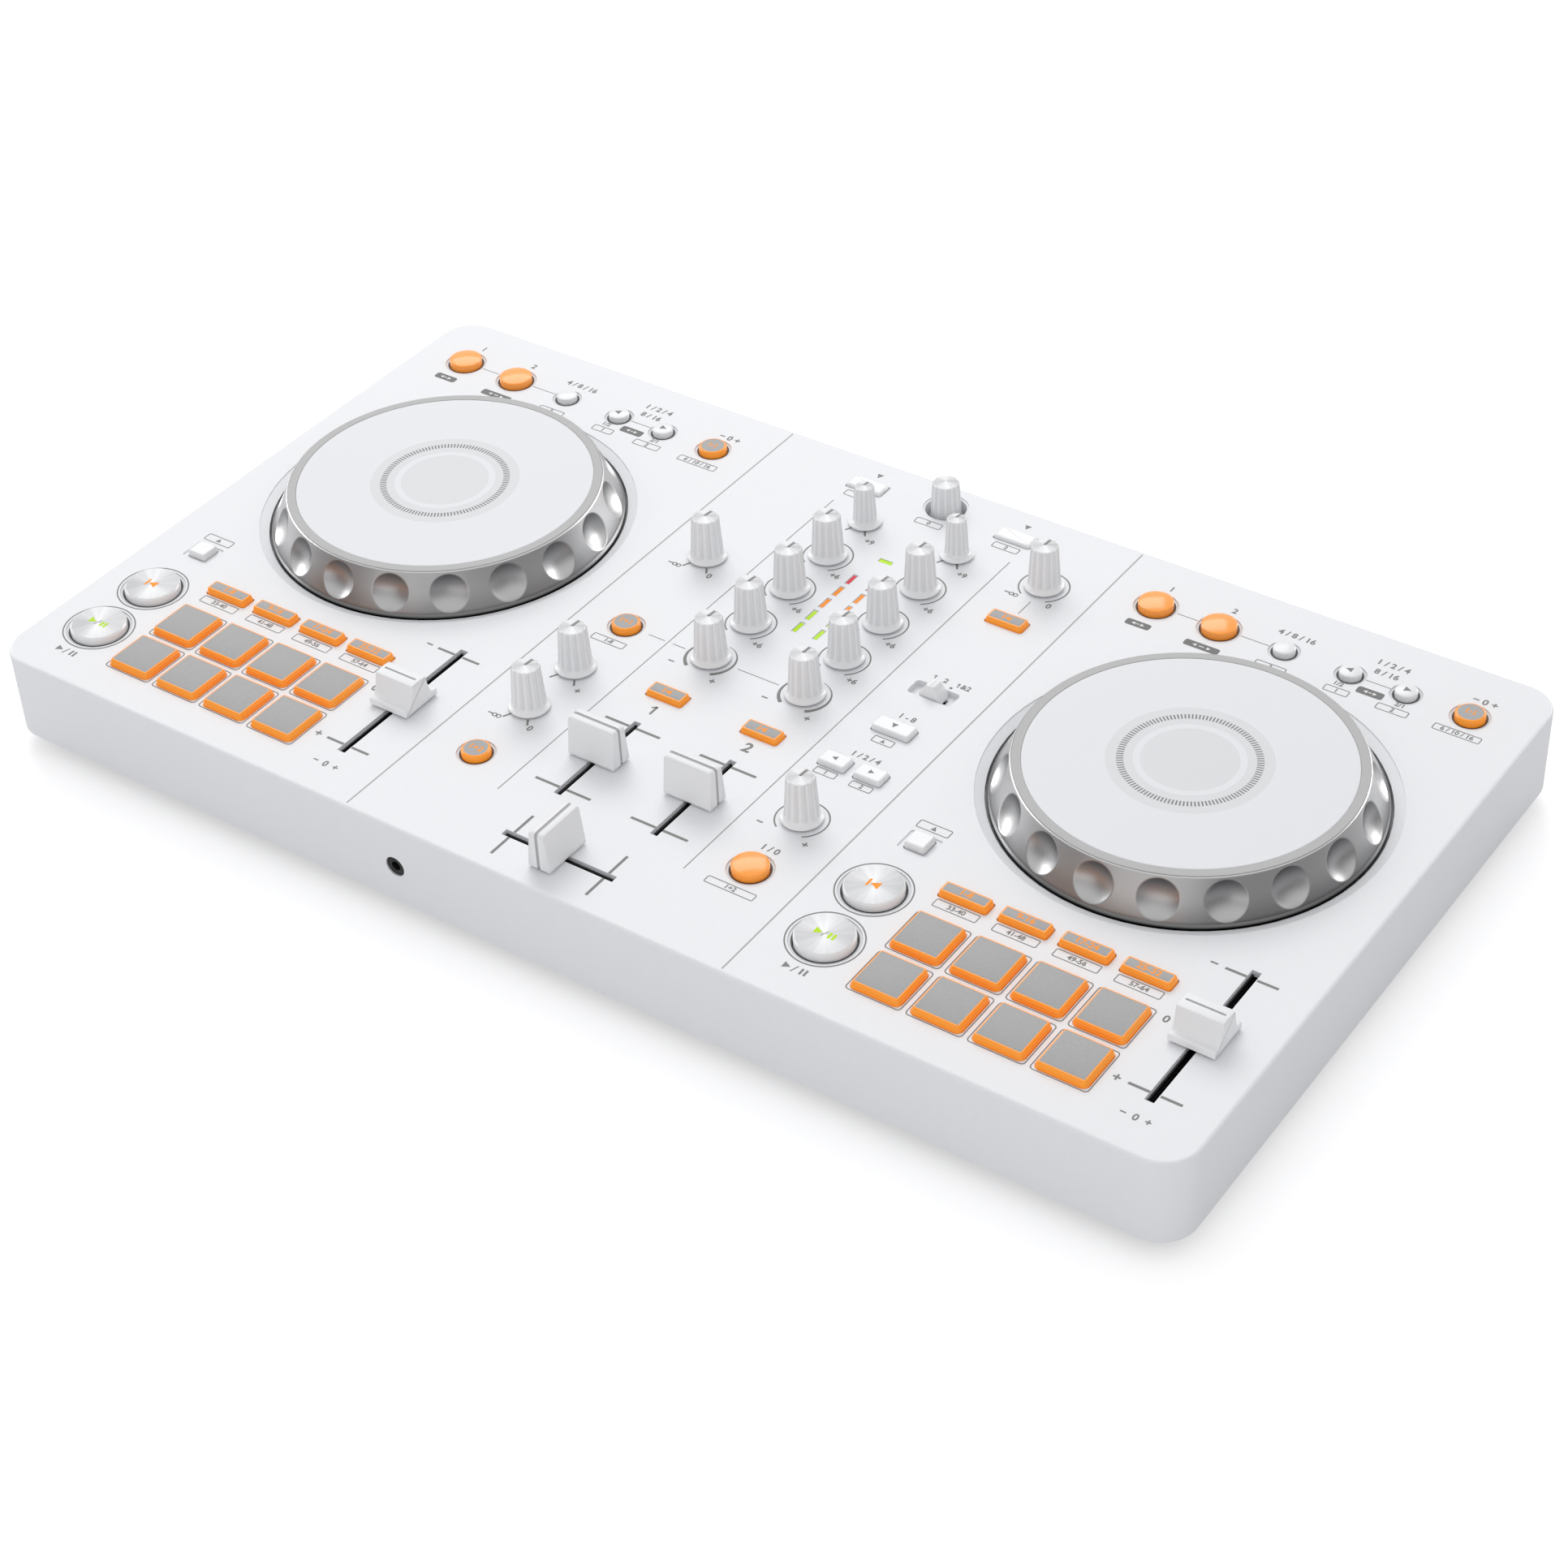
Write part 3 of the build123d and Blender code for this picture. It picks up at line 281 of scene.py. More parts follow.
def lettering(text, size, x, y, level=0.0):
    # a number or a sign from the built-in typeface, as a thin solid
    if (text, size) not in glyphs:
        curve = bpy.data.curves.new("glyph", "FONT")
        curve.body = text
        curve.size = size
        curve.align_x = "CENTER"
        curve.align_y = "CENTER"
        curve.extrude = inkStyle["textRaise"]
        curve.offset = inkStyle["weight"] * size
        curve.resolution_u = 3
        holder = bpy.data.objects.new("glyph", curve)
        mesh = bpy.data.meshes.new_from_object(holder)
        points = np.empty(len(mesh.vertices) * 3)
        mesh.vertices.foreach_get("co", points)
        # the faces and the sides of a letter come apart, so points at the same place are made one
        places, owner = np.unique(points.reshape(-1, 3).round(5), axis=0, return_inverse=True)
        loops = [[owner[vertex] for vertex in face.vertices] for face in mesh.polygons]
        loops = [[vertex for place, vertex in enumerate(loop) if vertex != loop[place - 1]] for loop in loops]
        glyphs[text, size] = places, [loop for loop in loops if len(set(loop)) > 2]
        bpy.data.meshes.remove(mesh)
        bpy.data.objects.remove(holder)
        bpy.data.curves.remove(curve)
    points, faces = glyphs[text, size]
    return points + (x, y, level + inkStyle["height"] - inkStyle["textRaise"]), faces


# shader nodes and the named groups that every material is built from
def feed(tree, node, inputs):
    # inputs maps a socket's name or number to a value or to the socket that feeds it
    for key, value in inputs.items():
        if isinstance(value, bpy.types.NodeSocket):
            tree.links.new(value, node.inputs[key])
        else:
            node.inputs[key].default_value = value


def addNode(tree, kind, inputs=None, **settings):
    node = tree.nodes.new("ShaderNode" + kind)
    for key, value in settings.items():
        setattr(node, key, value)
    feed(tree, node, inputs or {})
    return node


def mathNode(tree, operation, *values):
    # a Math node whose inputs are sockets or numbers
    return addNode(tree, "Math", dict(enumerate(values)), operation=operation).outputs[0]


def mixColour(tree, factor, first, second):
    return addNode(tree, "Mix", {0: factor, 6: first, 7: second}, data_type="RGBA").outputs[2]


def tinted(tree, colour, tone):
    # a colour multiplied by a value that varies over the surface
    return addNode(tree, "VectorMath", {0: colour, "Scale": tone}, operation="SCALE").outputs[0]


def separate(tree, vector):
    return addNode(tree, "SeparateXYZ", {0: vector}).outputs


def newGroup(name, inputs, outputs):
    # a shader node group with named sockets: inputs without a default value are vectors
    group = bpy.data.node_groups.new(name, "ShaderNodeTree")
    for label, value in inputs.items():
        kind = "NodeSocketVector" if value is None else "NodeSocketFloat"
        socket = group.interface.new_socket(label, in_out="INPUT", socket_type=kind)
        if value is not None:
            socket.default_value = value
    for label in outputs:
        group.interface.new_socket(label, in_out="OUTPUT", socket_type="NodeSocketFloat")
    return group, group.nodes.new("NodeGroupInput").outputs, group.nodes.new("NodeGroupOutput")


grainStyle = {"fineScale": 2600.0, "slowScale": 14.0, "speck": 0.12, "slowRoughness": 0.08}


def buildGrainGroup(s):
    # fine moulded texture: a height for bump, a slow change of tone and a roughness that varies a little
    group, entry, leave = newGroup(
        "mouldedGrain", {"Vector": None, "Grain Size": 1.0, "Tone Range": 0.03, "Roughness": 0.45},
        ["Height", "Tone", "Roughness"])
    scale = mathNode(group, "DIVIDE", s["fineScale"], entry["Grain Size"])
    fine = addNode(group, "TexNoise", {"Vector": entry["Vector"], "Scale": scale, "Detail": 3.0}).outputs[0]
    slow = addNode(group, "TexNoise", {"Vector": entry["Vector"], "Scale": s["slowScale"], "Detail": 2.0}).outputs[0]
    centred = mathNode(group, "SUBTRACT", slow, 0.5)
    tone = mathNode(group, "ADD", mathNode(group, "MULTIPLY", centred, entry["Tone Range"]), 1.0)
    speck = mathNode(group, "MULTIPLY", mathNode(group, "SUBTRACT", fine, 0.5), s["speck"])
    rough = mathNode(group, "ADD", mathNode(group, "ADD", entry["Roughness"], speck),
                     mathNode(group, "MULTIPLY", centred, s["slowRoughness"]))
    feed(group, leave, {"Height": fine, "Tone": tone, "Roughness": rough})
    return group


# turn sets where the painted highlight fan is brightest, in radians; streakShare is how much the painted streaks add
sheenStyle = {"turn": -2.206, "streakShare": 1.1}


def buildSpunHighlightGroup(s):
    # lathe-spun sheen, painted: streaks that are constant along each radius, which stand for fine glints, and a slow
    # fan of painted highlight and painted shade round the centre, which stands for a spun surface's bow-tie highlight
    group, entry, leave = newGroup(
        "spunSheen", {"Vector": None, "Streaks": 9.0, "Fan": 2.0, "Depth": 0.2}, ["Tone", "Streak"])
    unit = addNode(group, "VectorMath", {0: entry["Vector"]}, operation="NORMALIZE").outputs[0]
    streak = addNode(group, "TexNoise", {"Vector": unit, "Scale": entry["Streaks"], "Detail": 2.0}).outputs[0]
    parts = separate(group, unit)
    angle = mathNode(group, "ARCTAN2", parts[1], parts[0])
    turn = mathNode(group, "MULTIPLY", mathNode(group, "ADD", angle, s["turn"]), entry["Fan"])
    fan = mathNode(group, "MULTIPLY", mathNode(group, "ADD", mathNode(group, "COSINE", turn), 1.0), 0.5)
    ridge = mathNode(group, "MULTIPLY", mathNode(group, "SUBTRACT", streak, 0.5), s["streakShare"])
    both = mathNode(group, "ADD", fan, ridge)
    drop = mathNode(group, "MULTIPLY", mathNode(group, "SUBTRACT", 1.0, both), entry["Depth"])
    feed(group, leave, {"Tone": mathNode(group, "SUBTRACT", 1.0, drop), "Streak": streak})
    return group


def buildFootGroup():
    # 0 below the first height, 1 above the second, smooth between
    group, entry, leave = newGroup("footShade", {"Vector": None, "Low": 0.0, "High": 0.01}, ["Mask"])
    ramp = addNode(group, "MapRange", {"Value": separate(group, entry["Vector"])[2], "From Min": entry["Low"],
                                       "From Max": entry["High"]}, interpolation_type="SMOOTHSTEP")
    feed(group, leave, {"Mask": ramp.outputs[0]})
    return group


def footMask(tree, vector, low, high):
    return addNode(tree, "Group", {"Vector": vector, "Low": low, "High": high}, node_tree=footGroup).outputs["Mask"]


fluteStyle = {"flutes": 12.0, "spread": 2.2}


def buildFluteGroup(s):
    # where the painted flute shade goes: 1 in the middle of each flute round the map's centre and 0 on the ridges,
    # fading in above a height
    group, entry, leave = newGroup("fluteShade", {"Flat": None, "Vector": None, "Low": 0.0, "High": 0.01}, ["Mask"])
    flat = separate(group, entry["Flat"])
    angle = mathNode(group, "ARCTAN2", flat[1], flat[0])
    wave = mathNode(group, "COSINE", mathNode(group, "MULTIPLY", angle, s["flutes"]))
    share = mathNode(group, "MULTIPLY", mathNode(group, "SUBTRACT", 1.0, wave), 0.5)
    lift = footMask(group, entry["Vector"], entry["Low"], entry["High"])
    soft = mathNode(group, "MINIMUM", mathNode(group, "MULTIPLY", share, s["spread"]), 1.0)
    feed(group, leave, {"Mask": mathNode(group, "MULTIPLY", soft, lift)})
    return group


grainGroup = buildGrainGroup(grainStyle)
spunHighlightGroup = buildSpunHighlightGroup(sheenStyle)
footGroup = buildFootGroup()
fluteGroup = buildFluteGroup(fluteStyle)


def newMaterial(name):
    material = bpy.data.materials.new(name)
    material.use_nodes = True
    tree = material.node_tree
    return material, tree, tree.nodes["Principled BSDF"]


def moulded(name, colour, roughness, grainSize=1.0, grainDepth=0.03, toneRange=0.03, glow=0.0, clear=0.0,
            metallic=0.0, coat=0.0, speckle=0.0, shine=0.5):
    # moulded plastic, silicone or plated metal with a fine grain on Object coordinates
    material, tree, shader = newMaterial(name)
    place = addNode(tree, "TexCoord").outputs["Object"]
    grain = addNode(tree, "Group", {"Vector": place, "Grain Size": grainSize, "Tone Range": toneRange,
                                    "Roughness": roughness}, node_tree=grainGroup).outputs
    tone = grain["Tone"]
    if speckle:
        centred = mathNode(tree, "SUBTRACT", grain["Height"], 0.5)
        tone = mathNode(tree, "ADD", tone, mathNode(tree, "MULTIPLY", centred, speckle * 4))
    base = tinted(tree, colour, tone)
    bump = addNode(tree, "Bump", {"Strength": 1.0, "Distance": grainDepth * toMetres, "Height": grain["Height"]})
    feed(tree, shader, {
        "Base Color": base, "Roughness": grain["Roughness"], "Normal": bump.outputs[0], "Metallic": metallic,
        "Coat Weight": coat, "Specular IOR Level": shine, "Coat Roughness": 0.12})
    if glow:
        feed(tree, shader, {"Emission Color": base, "Emission Strength": glow})
    if clear:
        feed(tree, shader, {"Subsurface Weight": clear, "Subsurface Radius": (0.9, 0.35, 0.1),
                            "Subsurface Scale": 0.0012})
    return material


def spun(name, colour, roughness, depth, streaks, fan=2.0):
    # spun finish on the piece's own flat map, whose centre is the axis that it was spun on; its colour carries a
    # painted highlight fan and painted sheen streaks, and the streaks also vary its roughness
    material, tree, shader = newMaterial(name)
    sheen = addNode(tree, "Group", {"Streaks": streaks, "Fan": fan, "Depth": depth,
                                    "Vector": addNode(tree, "UVMap", uv_map="spin").outputs[0]},
                    node_tree=spunHighlightGroup).outputs
    rough = mathNode(tree, "ADD", mathNode(tree, "MULTIPLY", sheen["Streak"], 0.2), roughness - 0.1)
    feed(tree, shader, {"Base Color": tinted(tree, colour, sheen["Tone"]), "Roughness": rough})
    return material


def darken(material, tone):
    # multiplies the colour that a material has by a value that varies over the surface
    tree = material.node_tree
    base = tree.nodes["Principled BSDF"].inputs["Base Color"]
    tree.links.new(tinted(tree, base.links[0].from_socket, tone), base)


def metalWithPaintedShade(name, colour, roughness, steps, facing):
    # Plated metal with painted shade that darkens it towards its foot, for the gap's shadow and the darker reflections
    # low on the cone: each step is (low mm, high mm, share of the colour left below).
    # facing is the same for the upward part of the surface's own normal, which paints shade into the upper,
    # downward-facing part of each finger dimple.
    material = moulded(name, colour, roughness, 0.5, 0.02, 0.05, metallic=1.0)
    tree = material.node_tree
    place = addNode(tree, "TexCoord").outputs
    paintedShadeSteps = [("Object", low * toMetres + panelCentre[2], high * toMetres + panelCentre[2], share)
             for low, high, share in steps] + [("Normal", *facing)]
    for source, low, high, share in paintedShadeSteps:
        mask = footMask(tree, place[source], low, high)
        darken(material, mathNode(tree, "ADD", mathNode(tree, "MULTIPLY", mask, 1.0 - share), share))
    return material


def withPaintedFluteShade(name, colour, low, high, share):
    # knob plastic with painted shade along its flutes, between two heights in mm
    material = moulded(name, colour, 0.34, 0.5, 0.004, 0.02, coat=0.25)
    tree = material.node_tree
    mask = addNode(tree, "Group", {
        "Flat": addNode(tree, "UVMap", uv_map="spin").outputs[0],
        "Vector": addNode(tree, "TexCoord").outputs["Object"],
        "Low": low * toMetres + panelCentre[2], "High": high * toMetres + panelCentre[2],
    }, node_tree=fluteGroup).outputs[0]
    darken(material, mathNode(tree, "SUBTRACT", 1.0, mathNode(tree, "MULTIPLY", mask, share)))
    return material


def inked(name, colour, glow=0.0, roughness=0.55):
    return moulded(name, colour, roughness, 0.4, 0.004, 0.06, glow=glow, shine=0.15)


finishes = {
    # recess is painted shade for the sloping recesses round the round keys
    "recess": moulded("recessGrey", (0.66, 0.67, 0.69), 0.5, 0.8, 0.03, 0.02),
    "shell": moulded("whiteShell", (0.80, 0.81, 0.835), 0.42, 0.8, 0.06, 0.02),
    "tray": moulded("greyTray", (0.30, 0.31, 0.325), 0.55, 1.5, 0.05, 0.05),
    # the knobs carry painted shade in their flutes
    "knob": withPaintedFluteShade("whiteKnob", (0.84, 0.845, 0.86), 2.6, 3.4, 0.11),
    "browse": withPaintedFluteShade("browseKnob", (0.84, 0.845, 0.86), -4.4, -4.2, 0.11),
    "cap": moulded("whiteCap", (0.82, 0.825, 0.84), 0.42, 0.7, 0.012, 0.02),
    "key": moulded("whiteKey", (0.80, 0.805, 0.82), 0.3, 0.5, 0.006, 0.02, coat=0.3),
    "disc": moulded("discWhite", (0.74, 0.75, 0.775), 0.5, 0.8, 0.012, 0.015),
    "discPale": moulded("discPale", (0.66, 0.67, 0.69), 0.45, 0.8, 0.012, 0.015),
    "rimGrey": moulded("rimGrey", (0.43, 0.43, 0.43), 0.5, 0.6, 0.02, 0.03),
    # the silver rim carries painted shade towards its foot and in the upper part of its dimples
    "silver": metalWithPaintedShade("silverRim", (0.6, 0.6, 0.605), 0.36, [(-1.9, 1.0, 0.08), (-0.5, 8.0, 0.7)],
                         (-0.15, 0.78, 0.2)),
    "orange": moulded("orangeSilicone", (1.0, 0.33, 0.022), 0.35, 0.6, 0.01, 0.08, glow=0.1, clear=0.1),
    "orangeGloss": moulded("orangeGloss", (1.0, 0.34, 0.04), 0.22, 0.6, 0.004, 0.06, glow=0.08, clear=0.1, coat=0.3),
    "greyTop": moulded("greyTop", (0.38, 0.38, 0.38), 0.6, 1.0, 0.04, 0.08, speckle=0.1),
    "ink": inked("greyInk", (0.245, 0.245, 0.24)),
    "inkPale": inked("inkPale", (0.42, 0.42, 0.42)),
    "inkDark": inked("darkInk", (0.2, 0.2, 0.2)),
    "inkWhite": moulded("whiteInk", (0.8, 0.8, 0.8), 0.55, 0.4, 0.004, 0.03),
    "orangeInk": inked("orangeInk", (0.98, 0.33, 0.04), 0.05, 0.5),
    "limeInk": inked("limeInk", (0.48, 0.76, 0.01), 0.05, 0.45),
    "padGlow": inked("padGlow", (0.85, 0.1, 0.12), 0.15, 0.5),
    "groove": moulded("grooveGrey", (0.46, 0.46, 0.47), 0.5, 0.6, 0.01, 0.04),
    "pointer": moulded("pointerGrey", (0.33, 0.33, 0.325), 0.5, 0.6, 0.01, 0.04),
    "black": moulded("blackPlastic", (0.008, 0.008, 0.009), 0.5, 0.8, 0.02, 0.2),
    "rubber": moulded("footRubber", (0.012, 0.012, 0.013), 0.75, 2.0, 0.08, 0.2),
    "board": moulded("circuitBoard", (0.02, 0.12, 0.05), 0.35, 1.2, 0.02, 0.25),
    "steel": moulded("screwSteel", (0.12, 0.12, 0.125), 0.35, 0.6, 0.01, 0.2, metallic=1.0),
    "socket": moulded("socketMetal", (0.55, 0.55, 0.56), 0.3, 0.6, 0.01, 0.1, metallic=1.0),
    "bearing": moulded("bearingPlastic", (0.55, 0.55, 0.52), 0.4, 0.8, 0.01, 0.05),
    # the spun finishes carry a painted highlight fan and painted sheen streaks in their colour
    "spunKey": spun("spunKey", (0.86, 0.865, 0.88), 0.3, 0.34, 2.6),
    "spunTop": spun("spunTop", (0.84, 0.845, 0.86), 0.3, 0.36, 3.4),
}


def buildMeterFinish(s):
    # one lit plastic for every window: its colour steps from green through orange to red along Y
    material, tree, shader = newMaterial("meterLens")
    place = addNode(tree, "TexCoord").outputs["Object"]
    parts = separate(tree, place)
    colour = s["colours"][0]
    for edge, following in zip(s["edges"], s["colours"][1:]):
        step = mathNode(tree, "GREATER_THAN", parts[1], edge * toMetres + panelCentre[1])
        colour = mixColour(tree, step, colour, following)
    noise = addNode(tree, "TexNoise", {"Scale": s["grainScale"], "Vector": place}).outputs[0]
    # distance from the middle of the nearest window: the windows repeat every pitch along Y and mirror in X
    first, pitch = s["first"] * toMetres + panelCentre[1], s["pitch"] * toMetres
    shift = mathNode(tree, "SUBTRACT", parts[1], first - pitch / 2)
    along = mathNode(tree, "SUBTRACT", mathNode(tree, "FLOORED_MODULO", shift, pitch), pitch / 2)
    side = mathNode(tree, "SUBTRACT", mathNode(tree, "ABSOLUTE", parts[0]), s["column"] * toMetres)
    # windows further back than the columns have no unlit margin
    upper = mathNode(tree, "GREATER_THAN", parts[1], s["single"] * toMetres + panelCentre[1])
    column = mathNode(tree, "SUBTRACT", 1.0, upper)
    along = mathNode(tree, "ABSOLUTE", mathNode(tree, "MULTIPLY", along, column))
    side = mathNode(tree, "MULTIPLY", mathNode(tree, "ABSOLUTE", side), column)
    lit = mathNode(tree, "MULTIPLY", mathNode(tree, "LESS_THAN", along, s["halfLength"] * toMetres),
                   mathNode(tree, "LESS_THAN", side, s["halfWidth"] * toMetres))
    shown = mixColour(tree, lit, s["unlit"], colour)
    rough = mathNode(tree, "ADD", mathNode(tree, "MULTIPLY", noise, 0.2), 0.2)
    feed(tree, shader, {"Base Color": shown, "Emission Color": shown, "Roughness": rough,
                        "Emission Strength": s["glow"], "Specular IOR Level": 0.15})
    return material


green, amber, red = (0.5, 0.82, 0.003, 1), (1.0, 0.29, 0.012, 1), (0.7, 0.02, 0.05, 1)
meterStyle = {"edges": [42.1, 59.1, 68.0], "colours": [green, amber, red, green], "unlit": (0.62, 0.62, 0.62, 1),
              "glow": 0.0, "grainScale": 900.0, "first": 29.4, "pitch": 8.5, "column": 4.5, "halfLength": 2.8,
              "halfWidth": 0.72, "single": 74.0}
finishes["meter"] = buildMeterFinish(meterStyle)

cadFinishes = {
    "upper_case": "shell", "base_case": "tray", "rubber_feet": "rubber", "case_screws": "steel",
    "circuit_boards": "board", "rotary_pots": "black", "slide_pots": "black", "key_switches": "black",
    "jog_bearings": "bearing", "rear_sockets": "socket", "headphone_jack": "black", "meter_lenses": "meter",
    "browse_spindle": "steel",
}
for node, finish in cadFinishes.items():
    nodes[node].data.materials.clear()
    nodes[node].data.materials.append(finishes[finish])
print("finishes made")


jogStyle = {
    "footRadius": 66.4, "baseRadius": 65.6, "topRadius": 59.1, "bottom": -2.4, "band": -0.5, "coneTop": 13.4,
    "height": 14.0,
    "innerDepth": 6.0, "rimOuter": 58.6, "rimInner": 55.42, "discRadius": 55.4, "discThickness": 2.0,
    "dimples": 18, "dimpleRadius": 13.0, "dimpleDepth": 2.05, "dimpleEdge": 0.12,
    "around": 1440, "up": 56,
    "paleOuter": 27.8, "tickInner": 21.8, "tickOuter": 24.2, "ticks": 120, "tickWidth": 0.55,
    "whiteOuter": 18.8, "whiteInner": 16.4,
}


def jogCone(s, x, y):
    # A cone with a ring of finger dimples. Each point of the cone's (angle, height) grid is pushed inwards, along
    # the cone's normal, by how deep it lies inside the nearest dimple's sphere; the edge of each dimple is
    # softened by a smooth minimum.
    angle = np.linspace(0, 2 * np.pi, s["around"], endpoint=False)[None]
    lift = np.linspace(0, 1, s["up"])[:, None]
    run, rise = s["baseRadius"] - s["topRadius"], s["coneTop"] - s["band"]
    radius = s["baseRadius"] - lift * run + 0 * angle
    height = s["band"] + lift * rise + 0 * angle
    slope = math.hypot(run, rise)
    normalOut, normalUp = rise / slope, run / slope
    pitch = 2 * np.pi / s["dimples"]
    near = (angle + np.pi / 2 + pitch / 2) % pitch - pitch / 2  # one dimple faces the player
    across = radius * np.sin(near)
    along = (lift - 0.5) * slope + 0 * angle
    sunk = np.sqrt(np.maximum(s["dimpleRadius"] ** 2 - across**2 - along**2, 0))
    depth = sunk - (s["dimpleRadius"] - s["dimpleDepth"])
    soft = s["dimpleEdge"]
    depth = np.where(depth > soft, depth, np.where(depth > -soft, (depth + soft) ** 2 / (4 * soft), 0))
    radius = radius - depth * normalOut
    height = height - depth * normalUp
    cone = np.stack([x + radius * np.cos(angle), y + radius * np.sin(angle), height], -1)

    foot, top, rim = s["footRadius"], s["coneTop"], s["rimOuter"]
    lower = [(foot - 4.0, s["bottom"]), (foot - 0.3, s["bottom"]), (foot, s["bottom"] + 0.3), (foot, s["band"] - 0.8),
             (foot - 0.25, s["band"] - 0.4)]
    upper = [(s["topRadius"] - 0.15, top + 0.2), (rim + 0.14, top + 0.34), (rim + 0.05, top + 0.2),
             (rim + 0.02, top - 0.3), (rim - 0.2, s["innerDepth"])]
    rings = [ringsAt(x, y, lower, s["around"]), cone, ringsAt(x, y, upper, s["around"])]
    return loft(np.concatenate(rings), ends=False, around=True)


def buildJog(side, s):
    x, y = spot(f"{side}_jog_disc")
    body = f"{side}_jog"
    makePiece(f"{side}JogRim", body, [("silver", [jogCone(s, x, y)])], "silver_rim", [f"{side}_jog_platter"],
              sharp=60)
    top, inner, outer, disc = s["height"], s["rimInner"], s["rimOuter"], s["discRadius"]
    low = top - s["discThickness"]
    rim = [(inner, low), (outer, low), (outer, top - 0.15), (outer - 0.15, top), (inner + 0.1, top),
           (inner, top - 0.1)]
    makePiece(f"{side}JogRing", body, [("rimGrey", [loft(ringsAt(x, y, rim, 240), ends=False, around=True)])],
              "silver_rim")
    plate = [(disc, low), (disc, top - 0.35), (disc - 0.1, top - 0.15), (disc - 0.3, top - 0.03), (disc - 0.5, top),
             (disc - 1, top)]
    makePiece(f"{side}JogDisc", body, [("disc", [turned(plate, x, y, 240)])], "jog_white", [f"{side}_jog_disc"])
    level = top - inkStyle["height"] + 0.02
    pale = [turned([(s["paleOuter"], top - 0.1), (s["paleOuter"], top + 0.01)], x, y, 128)]
    white = [inkCircle(x, y, (s["whiteInner"] + s["whiteOuter"]) / 2, s["whiteOuter"] - s["whiteInner"], level)]
    ticks = [inkSpoke(x, y, s["tickInner"], s["tickOuter"], 2 * math.pi * number / s["ticks"], s["tickWidth"], level)
             for number in range(s["ticks"])]
    makePiece(f"{side}JogGraphics", body, [("discPale", pale), ("disc", white), ("ink", ticks)], "jog_white")


for side in deckSides:
    buildJog(side, jogStyle)
print("jog wheels made")


largeKnob = {"skirt": 7.3, "body": 6.1, "top": 5.15, "height": 18.7, "flutes": 12, "fluteDepth": 0.44,
             "float": 0.6, "skirtTop": 2.2, "shoulder": 0.9, "crown": 0.75, "pointer": 1.25}
smallKnob = dict(largeKnob, skirt=6.3, body=4.5, top=3.75, height=17.3, fluteDepth=0.32, pointer=1.1)
browseKnob = dict(largeKnob, skirt=6.1, body=6.1, top=5.2, height=12.0, skirtTop=-4.8, float=-4.5, pointer=0)


def knobMesh(s):
    # The radius is a taper with height, less a flute that is deepest midway between two ridges:
    # depth * (1 - u^4)^0.8, where u runs from -1 to 1 across each flute. The flutes fade in above the skirt.
    count = s["flutes"] * 14
    angle = np.linspace(0, 2 * np.pi, count, endpoint=False)[None]
    pitch = 2 * np.pi / s["flutes"]
    across = np.abs((angle + pitch / 2) % pitch - pitch / 2) / (pitch / 2) / 0.88
    flute = np.maximum(1 - across**4, 0) ** 0.8
    rim = s["height"] - s["crown"]
    rise = np.linspace(0, 1, 14)[:, None]
    wallHeight = s["skirtTop"] + 0.35 + (rim - s["shoulder"] - s["skirtTop"] - 0.35) * rise
    wallRadius = s["body"] + (s["top"] - s["body"]) * rise
    fade = np.clip((wallHeight - s["skirtTop"] - 0.7) / 1.0, 0, 1)
    fade = fade * fade * (3 - 2 * fade)
    wall = wallRadius - s["fluteDepth"] * flute * fade
    edgeTurn = np.radians([30, 60, 90])[:, None]
    edgeRadius = s["top"] - s["shoulder"] * 0.55 * (1 - np.cos(edgeTurn))
    edgeHeight = rim - s["shoulder"] * (1 - np.sin(edgeTurn))
    edge = edgeRadius - s["fluteDepth"] * flute * (1 - 0.35 * np.sin(edgeTurn))
    inner = edgeRadius[-1] - s["fluteDepth"]
    crownShare = np.array([0.93, 0.75, 0.5, 0.25, 0.04])[:, None]
    crown = inner * crownShare + 0 * angle
    crownHeight = rim + s["crown"] * (1 - crownShare) * 0.92 + 0 * angle
    radius = np.concatenate([wall, edge, crown])
    height = np.concatenate([wallHeight + 0 * angle, edgeHeight + 0 * angle, crownHeight])
    skirt, body, low = s["skirt"], s["body"], s["float"]
    flat = [(skirt - 1.5, low), (skirt - 0.3, low), (skirt, low + 0.3), (skirt, low + 0.7), (skirt - 0.1, low + 0.86),
            (skirt - 0.28, low + 0.95), (body + 0.6, low + 1.12), (body + 0.42, low + 1.3),
            (body + 0.2, s["skirtTop"] - 0.1), (body + 0.06, s["skirtTop"] + 0.25)]
    if skirt == body:
        flat = [(body, low)]
    flat = np.array(flat)
    radius = np.concatenate([flat[:, :1] + 0 * angle, radius])
    height = np.concatenate([flat[:, 1:] + 0 * angle, height])
    points = np.stack([radius * np.cos(angle), radius * np.sin(angle), height], -1)
    return loft(points)


def carved(mesh, cutter):
    # takes one solid out of another and returns the points and faces that are left
    objects = []
    for name, (points, faces) in (("body", mesh), ("cutter", cutter)):
        data = bpy.data.meshes.new(name)
        data.from_pydata(points, [], faces)
        objects.append(bpy.data.objects.new(name, data))
        bpy.context.scene.collection.objects.link(objects[-1])
    body, tool = objects
    cut = body.modifiers.new("groove", "BOOLEAN")
    cut.operation = "DIFFERENCE"
    cut.solver = "EXACT"
    cut.object = tool
    result = bpy.data.meshes.new_from_object(body.evaluated_get(bpy.context.evaluated_depsgraph_get()))
    points = np.empty(len(result.vertices) * 3)
    result.vertices.foreach_get("co", points)
    faces = [list(face.vertices) for face in result.polygons]
    for data in (body, tool):
        bpy.data.objects.remove(data)
    bpy.data.meshes.remove(result)
    return points.reshape(-1, 3), faces


